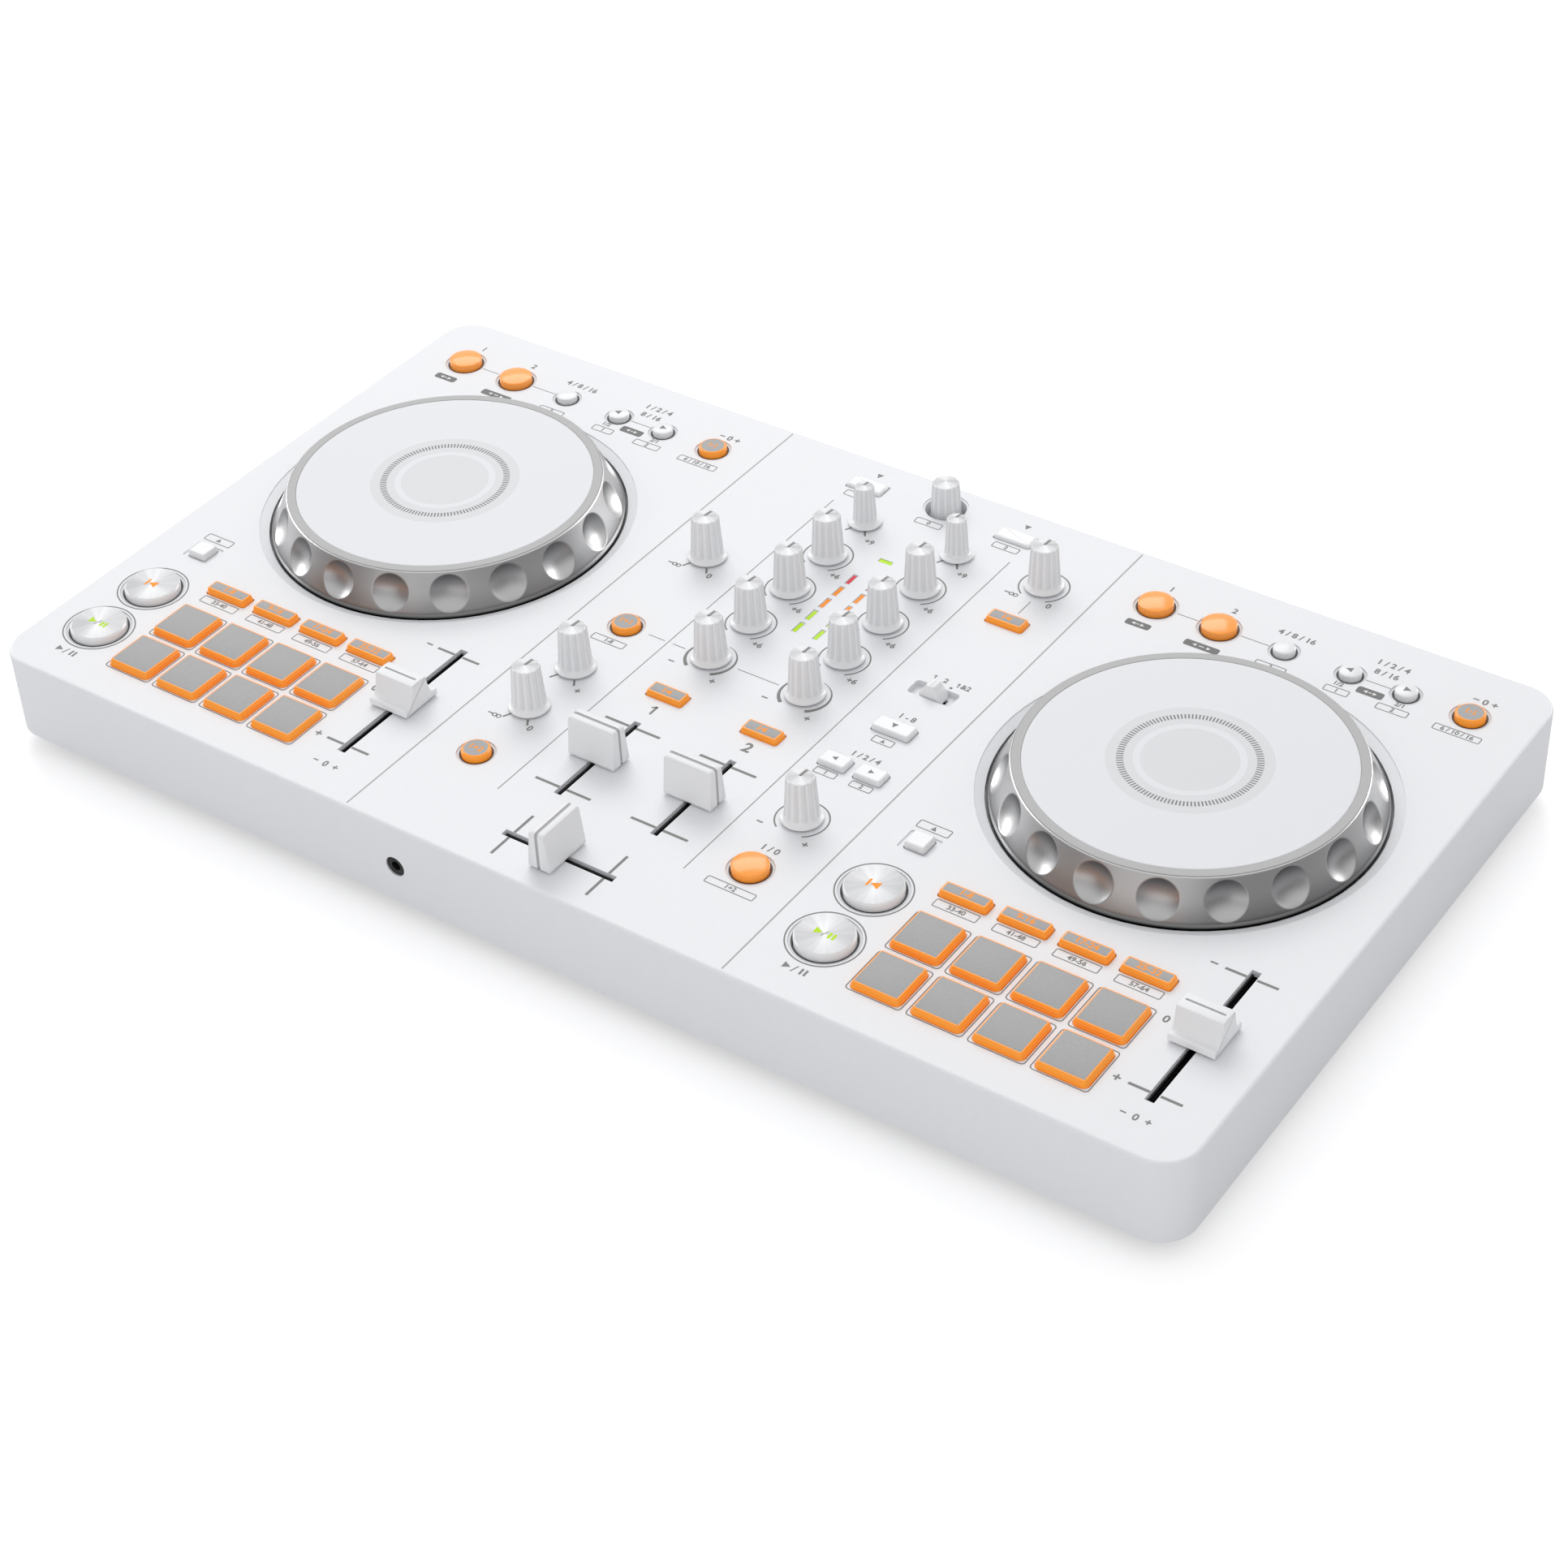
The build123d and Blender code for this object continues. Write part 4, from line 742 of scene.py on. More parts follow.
def knobWithPointer(s):
    # the knob with its pointer groove cut from near the centre out through the back of the rim
    mesh = knobMesh(s)
    if not s["pointer"]:
        return mesh
    rim = s["height"] - s["crown"]
    outline = roundRect(s["pointer"], s["top"] + 2, s["pointer"] / 2 - 0.02, 5) + (0, s["top"] / 2 + 0.55)
    return carved(mesh, slab(outline, [(rim - 0.35, 0), (s["height"] + 1, 0)]))


def splitTop(mesh, s):
    # the faces of the wall, the crown, which has the spun finish with its painted highlight fan, and the groove's
    # floor
    points, faces = mesh
    rim = s["height"] - s["crown"]
    wallFaces, spunHighlightFaces, grooveFaces = [], [], []
    for face in faces:
        across, _, height = points[face].mean(0)
        if abs(across) < s["pointer"] / 2 + 0.01 and rim - 0.4 < height < rim - 0.3:
            grooveFaces.append(face)
        elif height > rim + 0.02:
            spunHighlightFaces.append(face)
        else:
            wallFaces.append(face)
    return wallFaces, spunHighlightFaces, grooveFaces


def pieceName(node):
    first, *rest = node.split("_")
    return first + "".join(word.capitalize() for word in rest)


def makeKnobs():
    shapes = {}
    for kind, style in (("large", largeKnob), ("small", smallKnob), ("browse", browseKnob)):
        mesh = knobWithPointer(style)
        shapes[kind] = (mesh[0], splitTop(mesh, style))
    for node in nodes:
        if "_knob" not in node:
            continue
        kind = "browse" if node == "browse_knob" else "small" if node.startswith("trim") else "large"
        points, parts = shapes[kind]
        x, y = spot(node)
        wall = "browse" if kind == "browse" else "knob"
        order = [(finishes[finish], len(faces)) for finish, faces in zip((wall, "spunTop", "pointer"), parts)]
        addPiece(pieceName(node), node, points + (x, y, 0), sum(parts, []), order, "white_knob", [node], sharp=42,
                 centre=(x, y))


makeKnobs()
print("knobs made")


keyBase = -2.6  # keys reach this far below the panel
roundKeys = {"side": 10.2, "top": 2.4, "face": 9.6}
padStyle = {"size": 18.4, "pitch": 22.2, "corner": 1.6, "grey": 1.27, "greyCorner": 0.3,
            "levels": [(0.2, 0), (0.42, 0.08), (0.5, 0.26), (1.3, 0.3), (1.45, 0.34), (1.56, 0.46), (2.2, 0.76),
                       (2.36, 0.83), (2.4, 0.92), (2.4, 1.3)]}
barStyle = {"corner": 1.1, "grey": 1.12, "greyCorner": 0.2,
            "levels": [(0.15, 0), (0.35, 0.05), (0.42, 0.14), (1.3, 0.18), (1.42, 0.22), (1.5, 0.3), (2.22, 0.5),
                       (2.37, 0.58), (2.4, 0.66), (2.4, 1.0)]}


# each dome profile is a list of (mm in from its side, height)
domeProfile = [(0, 1.85), (0.03, 1.96), (0.1, 2.05), (0.22, 2.12), (0.9, 2.32), (2.0, 2.58), (3.3, 2.8),
               (4.6, 2.94), (5.8, 3.0)]
smallDomeProfile = [(0, 1.42), (0.04, 1.56), (0.12, 1.67), (0.25, 1.75), (0.8, 1.89), (1.6, 2.04), (2.6, 2.15),
                    (3.5, 2.2)]


def turnedKey(x, y, radius, profile):
    return turned([(radius, keyBase)] + [(radius - r, z) for r, z in profile], x, y, 96)


def orangeBar(x, y, width, depth, s, lower=0.0):
    # an orange key with a narrow flange, steep sides, a sloping shoulder and a grey printed top
    outline = roundRect(width, depth, s["corner"], 6) + (x, y)
    body = slab(outline, [(keyBase, 0)] + [(height - lower, shrink) for height, shrink in s["levels"]])
    top = s["levels"][-1][0] - lower
    grey = slab(roundRect(width - 2 * s["grey"], depth - 2 * s["grey"], s["greyCorner"], 4) + (x, y),
                [(top - 0.1, 0), (top + 0.02, 0), (top + 0.03, 0.02)])
    return body, grey


def orangeKeys(name, node, places, width, depth, s, marks=(), lower=0.0, slot="orange_key"):
    bodies, greys = zip(*[orangeBar(x, y, width, depth, s, lower) for x, y in places])
    printed = [("orangeInk", marks)] if marks else []
    makePiece(name, node, [("orange", bodies), ("greyTop", greys)] + printed, slot, [node])


def transportKeys(side):
    for kind in ("cue", "play"):
        node = f"{side}_{kind}_key"
        x, y = spot(node)
        top, radius = roundKeys["top"], roundKeys["face"]
        profile = [(0, top - 0.8), (0.04, top - 0.68), (0.12, top - 0.58), (0.42, top - 0.2), (0.5, top - 0.12),
                   (0.6, top - 0.08), (1.1, top - 0.06)]
        key = turnedKey(x, y, roundKeys["side"], profile)
        face = turned([(radius, top - 0.3), (radius, top - 0.04), (radius - 0.08, top)], x, y, 96)
        level = top - inkStyle["height"] + 0.03
        if kind == "cue":
            marks = [("orangeInk", cueMark(x, y, 3.6, level))]
        else:
            bars = [inkBar(x + place, y, 0.95, 2.8, level=level) for place in (1.9, 3.5)]
            slash = inkLine(x - 0.65, y - 1.5, x + 0.55, y + 1.5, 0.25, level)
            marks = [("limeInk", [inkTriangle(x - 2.7, y, 1.85, 0, level), *bars]), ("ink", [slash])]
        makePiece(f"{side}{kind.capitalize()}Key", node, [("key", [key]), ("spunKey", [face])] + marks, "spun_key",
                  [node], centre=(x, y))


columns, rows = (-1.5, -0.5, 0.5, 1.5), (-0.5, 0.5)  # places of the pads, in pitches from the middle
shiftKey = {"size": 7.8, "corner": 0.9, "top": 2.2, "edge": 0.75}
padGlowStyle = {"size": 19.0, "corner": 1.2, "line": 0.35, "level": -0.5}
modeKeys = {"width": 18.0, "depth": 6.0, "digits": 3.7, "level": 2.4}
loopKeys = {"domes": (-60.8, -35.4), "domeRadius": 6.4, "small": (-9.8, 15.7, 36.8), "smallRadius": 4.0,
            "arrows": ((15.5, 180), (37.0, 0)), "arrow": 1.6, "level": 2.17}


def deckKeys(side):
    centre, pitch = deckSides[side] * deckX, padStyle["pitch"]
    transportKeys(side)
    node, s = f"{side}_shift_key", shiftKey
    shift = slab(roundRect(s["size"], s["size"], s["corner"], 5) + spot(node),
                 [(keyBase, 0), *roundedEdge(s["top"], s["edge"])])
    makePiece(f"{side}ShiftKey", node, [("key", [shift])], "white_key", [node])
    node, s = f"{side}_pad_mat", padGlowStyle
    x, y = spot(node)
    places = [(x + column * pitch, y + row * pitch) for row in rows for column in columns]
    orangeKeys(f"{side}Pads", node, places, padStyle["size"], padStyle["size"], padStyle, slot="orange_silicone")
    outline = roundRect(s["size"], s["size"], s["corner"], 4)
    halo = [ink(outline + place, s["line"], closed=True, level=s["level"]) for place in places]
    makePiece(f"{side}PadGlow", "chassis", [("padGlow", halo)], "lens")
    node, s = f"{side}_pad_mode_keys", modeKeys
    x, y = spot(node)
    places = [(x + column * pitch, y) for column in columns]
    digits = [lettering(f"{first}-{first + 7}", s["digits"], *place, s["level"])
              for first, place in zip((1, 9, 17, 25), places)]
    orangeKeys(f"{side}PadModeKeys", node, places, s["width"], s["depth"], barStyle, digits)
    node, s, y = f"{side}_loop_keys", loopKeys, spot(f"{side}_sync_key")[1]
    domes = [turnedKey(centre + x, y, s["domeRadius"], domeProfile) for x in s["domes"]]
    small = [turnedKey(centre + x, y, s["smallRadius"], smallDomeProfile) for x in s["small"]]
    arrows = [inkTriangle(centre + x, y, s["arrow"], turn, s["level"]) for x, turn in s["arrows"]]
    makePiece(f"{side}LoopKeys", node, [("orangeGloss", domes), ("key", small), ("ink", arrows)], "orange_key", [node])
    flatRoundKey(f"{side}_sync_key", keyRadii["sync"], "1:1")


keyRadii = {"sync": 5.35, "smart": 5.2, "fx": 6.4}
flatKeys = {"top": 2.1, "digits": 3.6}


def flatRoundKey(node, radius, digit):
    # a round orange key with a grey printed top
    x, y = spot(node)
    top = flatKeys["top"]
    profile = [(0, top - 0.75), (0.06, top - 0.55), (0.35, top - 0.2), (0.5, top - 0.07), (0.75, top), (1.3, top)]
    key = turnedKey(x, y, radius, profile)
    grey = turned([(radius - 0.95, top - 0.1), (radius - 0.95, top + 0.03)], x, y, 64)
    marks = [lettering(digit, flatKeys["digits"], x, y, top)]
    makePiece(pieceName(node), node, [("orange", [key]), ("greyTop", [grey]), ("orangeInk", marks)], "orange_key",
              [node])


def whiteBar(x, y, width, depth, top, edge=0.8, corner=1.0):
    return slab(roundRect(width, depth, corner, 6) + (x, y), [(keyBase, 0), *roundedEdge(top, edge)])


cueKeys = {"apart": 20.0, "width": 15.0, "depth": 6.6, "lower": 0.4, "mark": 2.6, "level": 2.0}
loadKeys = {"apart": 32.5, "y": 116.5, "width": 15.2, "depth": 7.4, "top": 1.3, "edge": 0.9}
# each small white bar: x from the cue key's middle, y, width, its triangle's lift, size and turn
fxBars = [(0, -2.4, 15.0, 0.2, 1.5, 270), (-7.15, -27.6, 10.8, 0, 1.3, 180), (7.15, -27.6, 10.8, 0, 1.3, 0)]


def mixerKeys():
    s = cueKeys
    x, y = spot("channel_cue_keys")
    master = spot("master_cue_key")
    for name, node, places in (
            ("channelCueKeys", "channel_cue_keys", [(x - s["apart"], y), (x + s["apart"], y)]),
            ("masterCueKey", "master_cue_key", [master])):
        marks = [mark for place in places for mark in cueMark(*place, s["mark"], s["level"])]
        orangeKeys(name, node, places, s["width"], s["depth"], barStyle, marks, s["lower"])
    flatRoundKey("smart_filter_key", keyRadii["smart"], "1+1")
    flatRoundKey("smart_fader_key", keyRadii["smart"], "1+2")
    dome = turnedKey(*spot("fx_on_key"), keyRadii["fx"], domeProfile)
    makePiece("fxOnKey", "fx_on_key", [("orangeGloss", [dome])], "orange_key", ["fx_on_key"])
    s = loadKeys
    pair = [whiteBar(sign * s["apart"], s["y"], s["width"], s["depth"], s["top"], s["edge"]) for sign in (-1, 1)]
    makePiece("loadKeys", "load_keys", [("key", pair)], "white_key", ["load_keys"])
    x = master[0]
    bars = [whiteBar(x + right, y, width, 7.0, 2.2) for right, y, width, *_ in fxBars]
    marks = [inkTriangle(x + right, y + lift, size, turn, 2.17) for right, y, _, lift, size, turn in fxBars]
    makePiece("fxKeys", "fx_keys", [("key", bars), ("ink", marks)], "white_key", ["fx_keys"])


for side in deckSides:
    deckKeys(side)
mixerKeys()
print("keys made")


faderStyle = {"width": 19.5, "base": 9.2, "top": 5.8, "shift": 0.5, "bottom": 0.6, "height": 15.5, "corner": 1.3,
              "edge": 0.45, "groove": 1.3, "grooveDepth": 0.4, "lever": 1.2, "leverLength": 6.0, "leverEnd": -8.5}


def faderMesh(s, turn):
    # Two tapered slabs, front and back, on a smaller core that shows as the groove. Each slab's outline is the cap
    # seen from the front; its outer face leans in as it rises.
    half, low, high = s["width"] / 2, s["bottom"], s["height"]
    quarter = np.linspace(0, np.pi / 2, 7)
    right = np.column_stack([half - s["corner"] + s["corner"] * np.cos(quarter),
                             high - s["corner"] + s["corner"] * np.sin(quarter)])
    foot = np.array([[-half + 0.3, low], [half - 0.3, low], [half, low + 0.3]])
    outline = np.vstack([foot, right, right[::-1] * (-1, 1), [[-half, low + 0.3]]])

    def slabHalf(sign):
        # levels run outwards from the groove, with a quarter-circle edge at the outer face
        angle = np.linspace(0, np.pi / 2, 5)
        shrink = np.concatenate([[0.12, 0.0], s["edge"] * (1 - np.cos(angle)), [s["edge"] + 0.2]])
        share = np.concatenate([[0, 0.12], np.sin(angle), [1.0]])
        loops = np.stack([inset(outline, amount) if amount else outline for amount in shrink])
        lean = np.interp(loops[..., 1], [low, high], [s["base"] / 2, s["top"] / 2])
        start = s["groove"] / 2
        out = np.where(share[:, None] == 0, start, 0) + np.where(share[:, None] == 0.12, start + 0.12, 0)
        outer = lean - s["edge"] * (1 - share[:, None])
        depth = np.where(np.isin(share, [0, 0.12])[:, None], out, outer)
        solid = np.stack([loops[..., 0], s["shift"] + sign * depth, loops[..., 1]], -1)
        return loft(solid[:, ::-1] if sign > 0 else solid)

    coreOutline = inset(outline, s["grooveDepth"])
    core = slab(coreOutline[:, ::-1], [(-s["groove"] / 2 - 0.2, 0), (s["groove"] / 2 + 0.2, 0)], "y", y=s["shift"])
    core = core[0], [face[::-1] for face in core[1]]
    lever = slab(roundRect(s["lever"], s["leverLength"], 0.2, 3), [(s["leverEnd"], 0), (low + 0.5, 0)])
    parts = [[slabHalf(-1), slabHalf(1)], [core], [lever]]
    if turn:
        parts = [[(points[:, [1, 0, 2]] * (-1, 1, 1), faces) for points, faces in group] for group in parts]
    return parts


def shifted(mesh, x, y):
    return mesh[0] + (x, y, 0), mesh[1]


def makeFaders():
    names = {"channel_fader_1": "channelFader1", "channel_fader_2": "channelFader2", "crossfader": "crossfaderCap"}
    for node, name in names.items():
        place = spot(node)
        parts = zip(("cap", "groove", "black"), faderMesh(faderStyle, node == "crossfader"))
        groups = [(finish, [shifted(mesh, *place) for mesh in part]) for finish, part in parts]
        makePiece(name, node, groups, "white_cap", [node])


tempoStyle = {"width": 16.5, "length": 17.0, "height": 11.6, "bottom": 0.6, "lip": 3.0, "ridge": 3.6, "crown": 0.4,
              "edge": 0.45, "groove": 0.9, "lever": 2.0, "leverLength": 6.6, "leverEnd": -8.5}


def tempoOutline(s):
    # Seen from the side: an upright lip, a hollow that is a cubic Bezier curve from the lip up to the ridge, and a
    # crowned ridge. The back half mirrors the front.
    half = s["length"] / 2
    t = np.linspace(0, 1, 18)[:, None]
    start, end = np.array([half - 1.3, s["lip"] + 0.3]), np.array([s["ridge"], s["height"] - s["crown"]])
    pull1, pull2 = np.array([s["ridge"] + 1.2, s["lip"] - 0.1]), np.array([s["ridge"] + 0.9, s["height"] - 4.6])
    hollow = (1 - t) ** 3 * start + 3 * (1 - t) ** 2 * t * pull1 + 3 * (1 - t) * t**2 * pull2 + t**3 * end
    ridge = np.linspace(s["ridge"] - 0.15, 0, 7)[:, None]
    crown = np.column_stack([ridge, s["height"] - s["crown"] * (ridge / s["ridge"]) ** 2 * 0.8])
    lipTurn = np.linspace(0, np.pi / 2, 5)
    lip = np.column_stack([half - 0.7 + 0.7 * np.cos(lipTurn), s["lip"] - 0.4 + 0.7 * np.sin(lipTurn)])
    back = np.vstack([[[half - 0.25, s["bottom"]], [half, s["bottom"] + 0.25]], lip, hollow, crown])
    return np.vstack([back, (back * (-1, 1))[::-1][1:]])


def makeTempoFaders():
    s = tempoStyle
    outline = tempoOutline(s)
    half = s["width"] / 2
    levels = [(-half, s["edge"] + 0.15), *roundedEdge(-half, s["edge"], -1)[1:], *roundedEdge(half, s["edge"])]
    for side in deckSides:
        node = f"{side}_tempo_fader"
        x, y = spot(node)
        body = slab(outline, levels, "x", x, y, 0)
        cutter = slab(roundRect(s["width"] - 2.6, s["groove"], 0.4, 4),
                      [(s["height"] - 0.45, 0), (s["height"] + 1, 0)])
        body = carved(body, shifted(cutter, x, y))
        lever = slab(roundRect(s["lever"], s["leverLength"], 0.2, 3) + (x, y), [(s["leverEnd"], 0), (1.2, 0)])
        floor = slab(roundRect(s["width"] - 2.7, s["groove"] - 0.06, 0.38, 4) + (x, y),
                     [(s["height"] - 0.6, 0), (s["height"] - 0.4, 0)])
        makePiece(f"{side}TempoFader", node, [("cap", [body]), ("groove", [floor]), ("black", [lever])], "white_cap",
                  [node], sharp=35)


# the selector's wedge is (height, how far it narrows); the ridge is the raised bar on its top
selectorStyle = {"width": 4.4, "depth": 3.2, "wedge": [(-2.0, 0), (0.4, 0), (2.2, 1.4), (3.6, 2.35), (4.2, 2.6),
                                                       (4.45, 2.85), (4.5, 3.1)],
                 "depthShare": 0.28, "stem": 2.0, "stemEnd": -5.0, "ridge": (0.7, 3.0)}


def makeSelector():
    # a wedge whose outline narrows as it rises, with a raised ridge on top
    s = selectorStyle
    x, y = spot("fx_channel_switch")
    levels = np.array(s["wedge"])
    widths, depths = s["width"] - levels[:, 1], s["depth"] - levels[:, 1] * s["depthShare"]
    outline = roundRect(2, 2, 0.3, 5)
    rings = np.stack([np.column_stack([x + outline[:, 0] * w, y + outline[:, 1] * d, np.full(len(outline), z)])
                      for w, d, z in zip(widths, depths, levels[:, 0])])
    stem = slab(roundRect(s["stem"], s["stem"], 0.2, 2) + (x, y), [(s["stemEnd"], 0), (-1.9, 0)])
    ridge = slab(roundRect(*s["ridge"], 0.2, 3) + (x, y), [(4.3, 0), (4.6, 0), (4.68, 0.1)])
    makePiece("fxChannelSwitch", "fx_channel_switch", [("cap", [loft(rings), stem, ridge])], "white_knob",
              ["fx_channel_switch"])


# Each slot: x, y, width, length and lever width in mm, and whether it runs front to back. The strips lie between
# the two heights.
shieldStyle = {"low": -2.3, "high": -1.75, "gap": 0.2, "slots": [
    *[(sign * deckX + 60.6, -77.9, 3.3, 67.2, 2.0, True) for sign in (-1, 1)],
    *[(sign * 20.0, -67.7, 2.9, 45.6, 1.2, True) for sign in (-1, 1)],
    (0.0, -115.4, 2.9, 45.6, 1.2, False)]}


def slotShields():
    # black strips in each slider slot, either side of the slit that the lever runs in
    s, strips = shieldStyle, []
    for x, y, width, length, lever, lengthwise in s["slots"]:
        strip = (width - lever - s["gap"]) / 2
        for sign in (-1, 1):
            size, offset = np.array([strip, length]), np.array([sign * (width - strip) / 2, 0])
            if not lengthwise:
                size, offset = size[::-1], offset[::-1]
            strips.append(slab(roundRect(*size, 0.05, 2) + (x, y) + offset, [(s["low"], 0), (s["high"], 0)]))
    makePiece("slotShields", "chassis", [("black", strips)], "black_plastic")


# gap and ring are mm out from each key's side: the black ring of painted shadow and the grey ring of painted shade
recessStyle = {"gap": (0.3, 0.8), "ring": (0.8, 1.76), "level": -0.5}


def recessFloors():
    # thin plates on the floors of the round keys' recesses: a grey ring of painted shade where the recess slopes, and
    # a black ring of painted shadow down the gap next to the key
    places = [(*spot(f"{side}_{kind}_key"), roundKeys["side"]) for side in deckSides for kind in ("cue", "play")]
    places += [(*spot(f"smart_{kind}_key"), keyRadii["smart"]) for kind in ("filter", "fader")]
    places += [(*spot("fx_on_key"), keyRadii["fx"])] + [(*spot(f"{side}_sync_key"), keyRadii["sync"])
                                                        for side in deckSides]
    s = loopKeys
    for side, sign in deckSides.items():
        y = spot(f"{side}_sync_key")[1]
        loops = [(x, s["domeRadius"]) for x in s["domes"]] + [(x, s["smallRadius"]) for x in s["small"]]
        places += [(sign * deckX + x, y, radius) for x, radius in loops]
    rings, gapShadows = ([inkCircle(x, y, radius + (inner + outer) / 2, outer - inner, recessStyle["level"])
                    for x, y, radius in places] for inner, outer in (recessStyle["ring"], recessStyle["gap"]))
    makePiece("recessFloors", "chassis", [("recess", rings), ("black", gapShadows)], "white_shell")


makeFaders()
makeTempoFaders()
makeSelector()
slotShields()
recessFloors()
print("faders made")


# Printing on the panel. Each label is (text, size, x, y) from the middle of its deck, its knob or the panel.
deckLabels = [
    ("33-40", 2.9, -33.3, -69.7), ("41-48", 2.9, -11.1, -69.7), ("49-56", 2.9, 11.1, -69.7),
    ("57-64", 2.9, 33.3, -69.7),
    ("−", 5.0, 47.5, -48.0), ("0", 4.4, 47.5, -78.0), ("+", 5.0, 47.5, -108.0), ("−  0  +", 3.9, 60.6, -119.6),
    ("1", 3.9, -60.8, 118.3), ("2", 3.9, -35.4, 118.3), ("4 / 8 / 16", 3.9, -9.8, 116.3), ("1/2", 3.0, 14.6, 99.8),
    ("2/1", 3.0, 37.8, 99.8), ("1 / 2 / 4", 3.9, 26.3, 118.4), ("8 / 16", 3.9, 26.3, 113.0),
    ("− 0 +", 4.2, 61.6, 116.3), ("6 / 10 / 16", 2.9, 60.7, 96.0), ("1", 2.9, 15.7, 96.0), ("2", 2.9, 36.7, 96.0),
    ("3", 2.9, -9.8, 96.0),
]


# on each deck: frames are (x, y, width, depth), lines (x1, y1, x2, y2, width), darkBars (x, y, width, depth, and
# how far the two arrows on it stand from its middle)
deckMarks = {
    "circles": [(-60.9, -75.0), (-60.9, -103.1)], "circle": (12.9, 0.5),
    "padRows": (-86.1, -108.3), "pad": (20.2, 20.1, 1.2, 0.4), "modeFrame": (-69.7, 16.2, 3.6),
    "frames": [(15.7, 96.0, 9.0, 3.2), (36.7, 96.0, 11.5, 3.2), (60.7, 96.0, 17.1, 3.2), (-9.8, 96.0, 11.5, 3.2)],
    "lines": [(x1, y, x2, y, 1.05) for y in (-48.0, -108.0) for x1, x2 in ((51.5, 58.9), (62.6, 70.0))]
    + [(x1, 106.6, x2, 106.6, inkStyle["thin"]) for x1, x2 in ((-52.2, -44.0), (-26.8, -15.8), (21.7, 30.9))],
    "darkBars": [(-60.8, 93.8, 9.7, 3.4, 1.6), (-35.4, 93.8, 13.6, 3.4, 2.6), (26.15, 100.75, 9.9, 3.7, 1.6)],
}


def deckPrint(sign):
    cx, s = sign * deckX, deckMarks
    grey = [lettering(text, size, cx + x, y) for text, size, x, y in deckLabels]
    grey += [inkCircle(cx + x, y, *s["circle"]) for x, y in s["circles"]]
    grey += [inkFrame(cx - 60.9, -39.2, 12.2, 3.7), inkTriangle(cx - 60.9, -39.4, 1.3, 90)]
    grey += [inkTriangle(cx - 64.5, -119.6, 1.7, 0), inkLine(cx - 61.9, -121.2, cx - 60.7, -118.0, 0.4)]
    grey += [inkBar(cx + x, -119.6, 0.8, 2.8) for x in (-58.7, -57.1)]
    for column in columns:
        x = cx + column * padStyle["pitch"]
        grey += [inkFrame(x, y, *s["pad"]) for y in s["padRows"]] + [inkFrame(x, *s["modeFrame"])]
    grey += [inkLine(cx + x1, y1, cx + x2, y2, width) for x1, y1, x2, y2, width in s["lines"]]
    grey += [inkFrame(cx + x, *frame) for x, *frame in s["frames"]]
    dark = [inkBar(cx + x, y, width, depth, 0.9, 5) for x, y, width, depth, _ in s["darkBars"]]
    pale = []
    for x, y, _, _, gap in s["darkBars"]:
        pale += [inkTriangle(cx + x - gap, y, 0.95, 180, 0.03), inkTriangle(cx + x + gap, y, 0.95, 0, 0.03),
                 inkBar(cx + x, y, gap * 0.8, 0.4, 0.1, 2, 0.03)]
    return grey, dark, pale


plusSix, plainLevel = [("+6", 3.7, 9.2, -9.4)], [("0", 3.8, 7.4, -9.5), ("−", 4.2, -9.7, -9.6)]
knobLabels = {
    "hi": plusSix, "mid_": plusSix, "low": plusSix, "mic": plainLevel, "phones_level": plainLevel,
    "master": plainLevel,
    "trim": [("+9", 3.6, 8.0, -9.4)], "filter": [("−", 4.6, -11.2, -8.6), ("+", 4.2, 8.0, -10.8)],
    "fx_depth": [("−", 4.6, -11.2, -8.6), ("+", 4.2, 8.2, -10.6)],
    "phones_mix": [("+", 4.2, 8.4, -10.4), ("−", 4.6, -11.0, -8.4)],
}
scaleStyle = {"radius": 9.2, "line": 0.55, "start": -57, "end": 237, "wedge": (0.15, 1.4), "ticks": (-118, -57),
              "tick": 3.2, "tickWidth": 0.75, "trimInner": 5.2, "inner": 7.0}


def knobPrint():
    # the scale round each knob: an arc that is open towards the player, a wedge-ended arc or two ticks
    grey, s = [], scaleStyle
    for node in nodes:
        if "_knob" not in node or node == "browse_knob":
            continue
        x, y = spot(node)
        if node.startswith(("trim", "mic", "phones")):
            inner = s["trimInner" if node.startswith("trim") else "inner"]
            grey += [inkSpoke(x, y, inner, inner + s["tick"], turn, s["tickWidth"]) for turn in np.radians(s["ticks"])]
        elif node.startswith("filter"):
            for start, end in ((100, s["end"]), (80, s["start"])):
                path = arcPath(x, y, s["radius"], start, end)
                grey.append(ink(path, np.linspace(*s["wedge"], len(path))))
        else:
            grey.append(ink(arcPath(x, y, s["radius"], s["start"], s["end"]), s["line"]))
        if node.endswith("level_knob"):
            grey += [inkCircle(x - 7.0 + side * 0.85, y - 9.6, 0.8, 0.42) for side in (-1, 1)]
        for start, labels in knobLabels.items():
            if node.startswith(start):
                grey += [lettering(text, size, x + right, y + back) for text, size, right, back in labels]
    return grey


mixerLabels = [
    ("2", 6.8, 20.0, -36.8), ("2", 3.4, 57.0, 30.2), ("&2", 3.4, 65.1, 30.2),
    ("1 - 8", 3.6, 57.0, 5.6), ("1 / 2 / 4", 3.6, 57.0, -20.0), ("1 / 0", 3.9, 57.0, -76.4),
    ("1", 2.7, 49.85, -33.8), ("2", 2.7, 64.15, -33.8), ("1+2", 2.8, 57.0, -99.0), ("1-8", 2.8, -57.0, -12.8),
    ("1", 2.8, -32.5, 109.4), ("2", 2.8, 32.5, 109.4), ("0", 2.8, 0.0, 107.9),
]


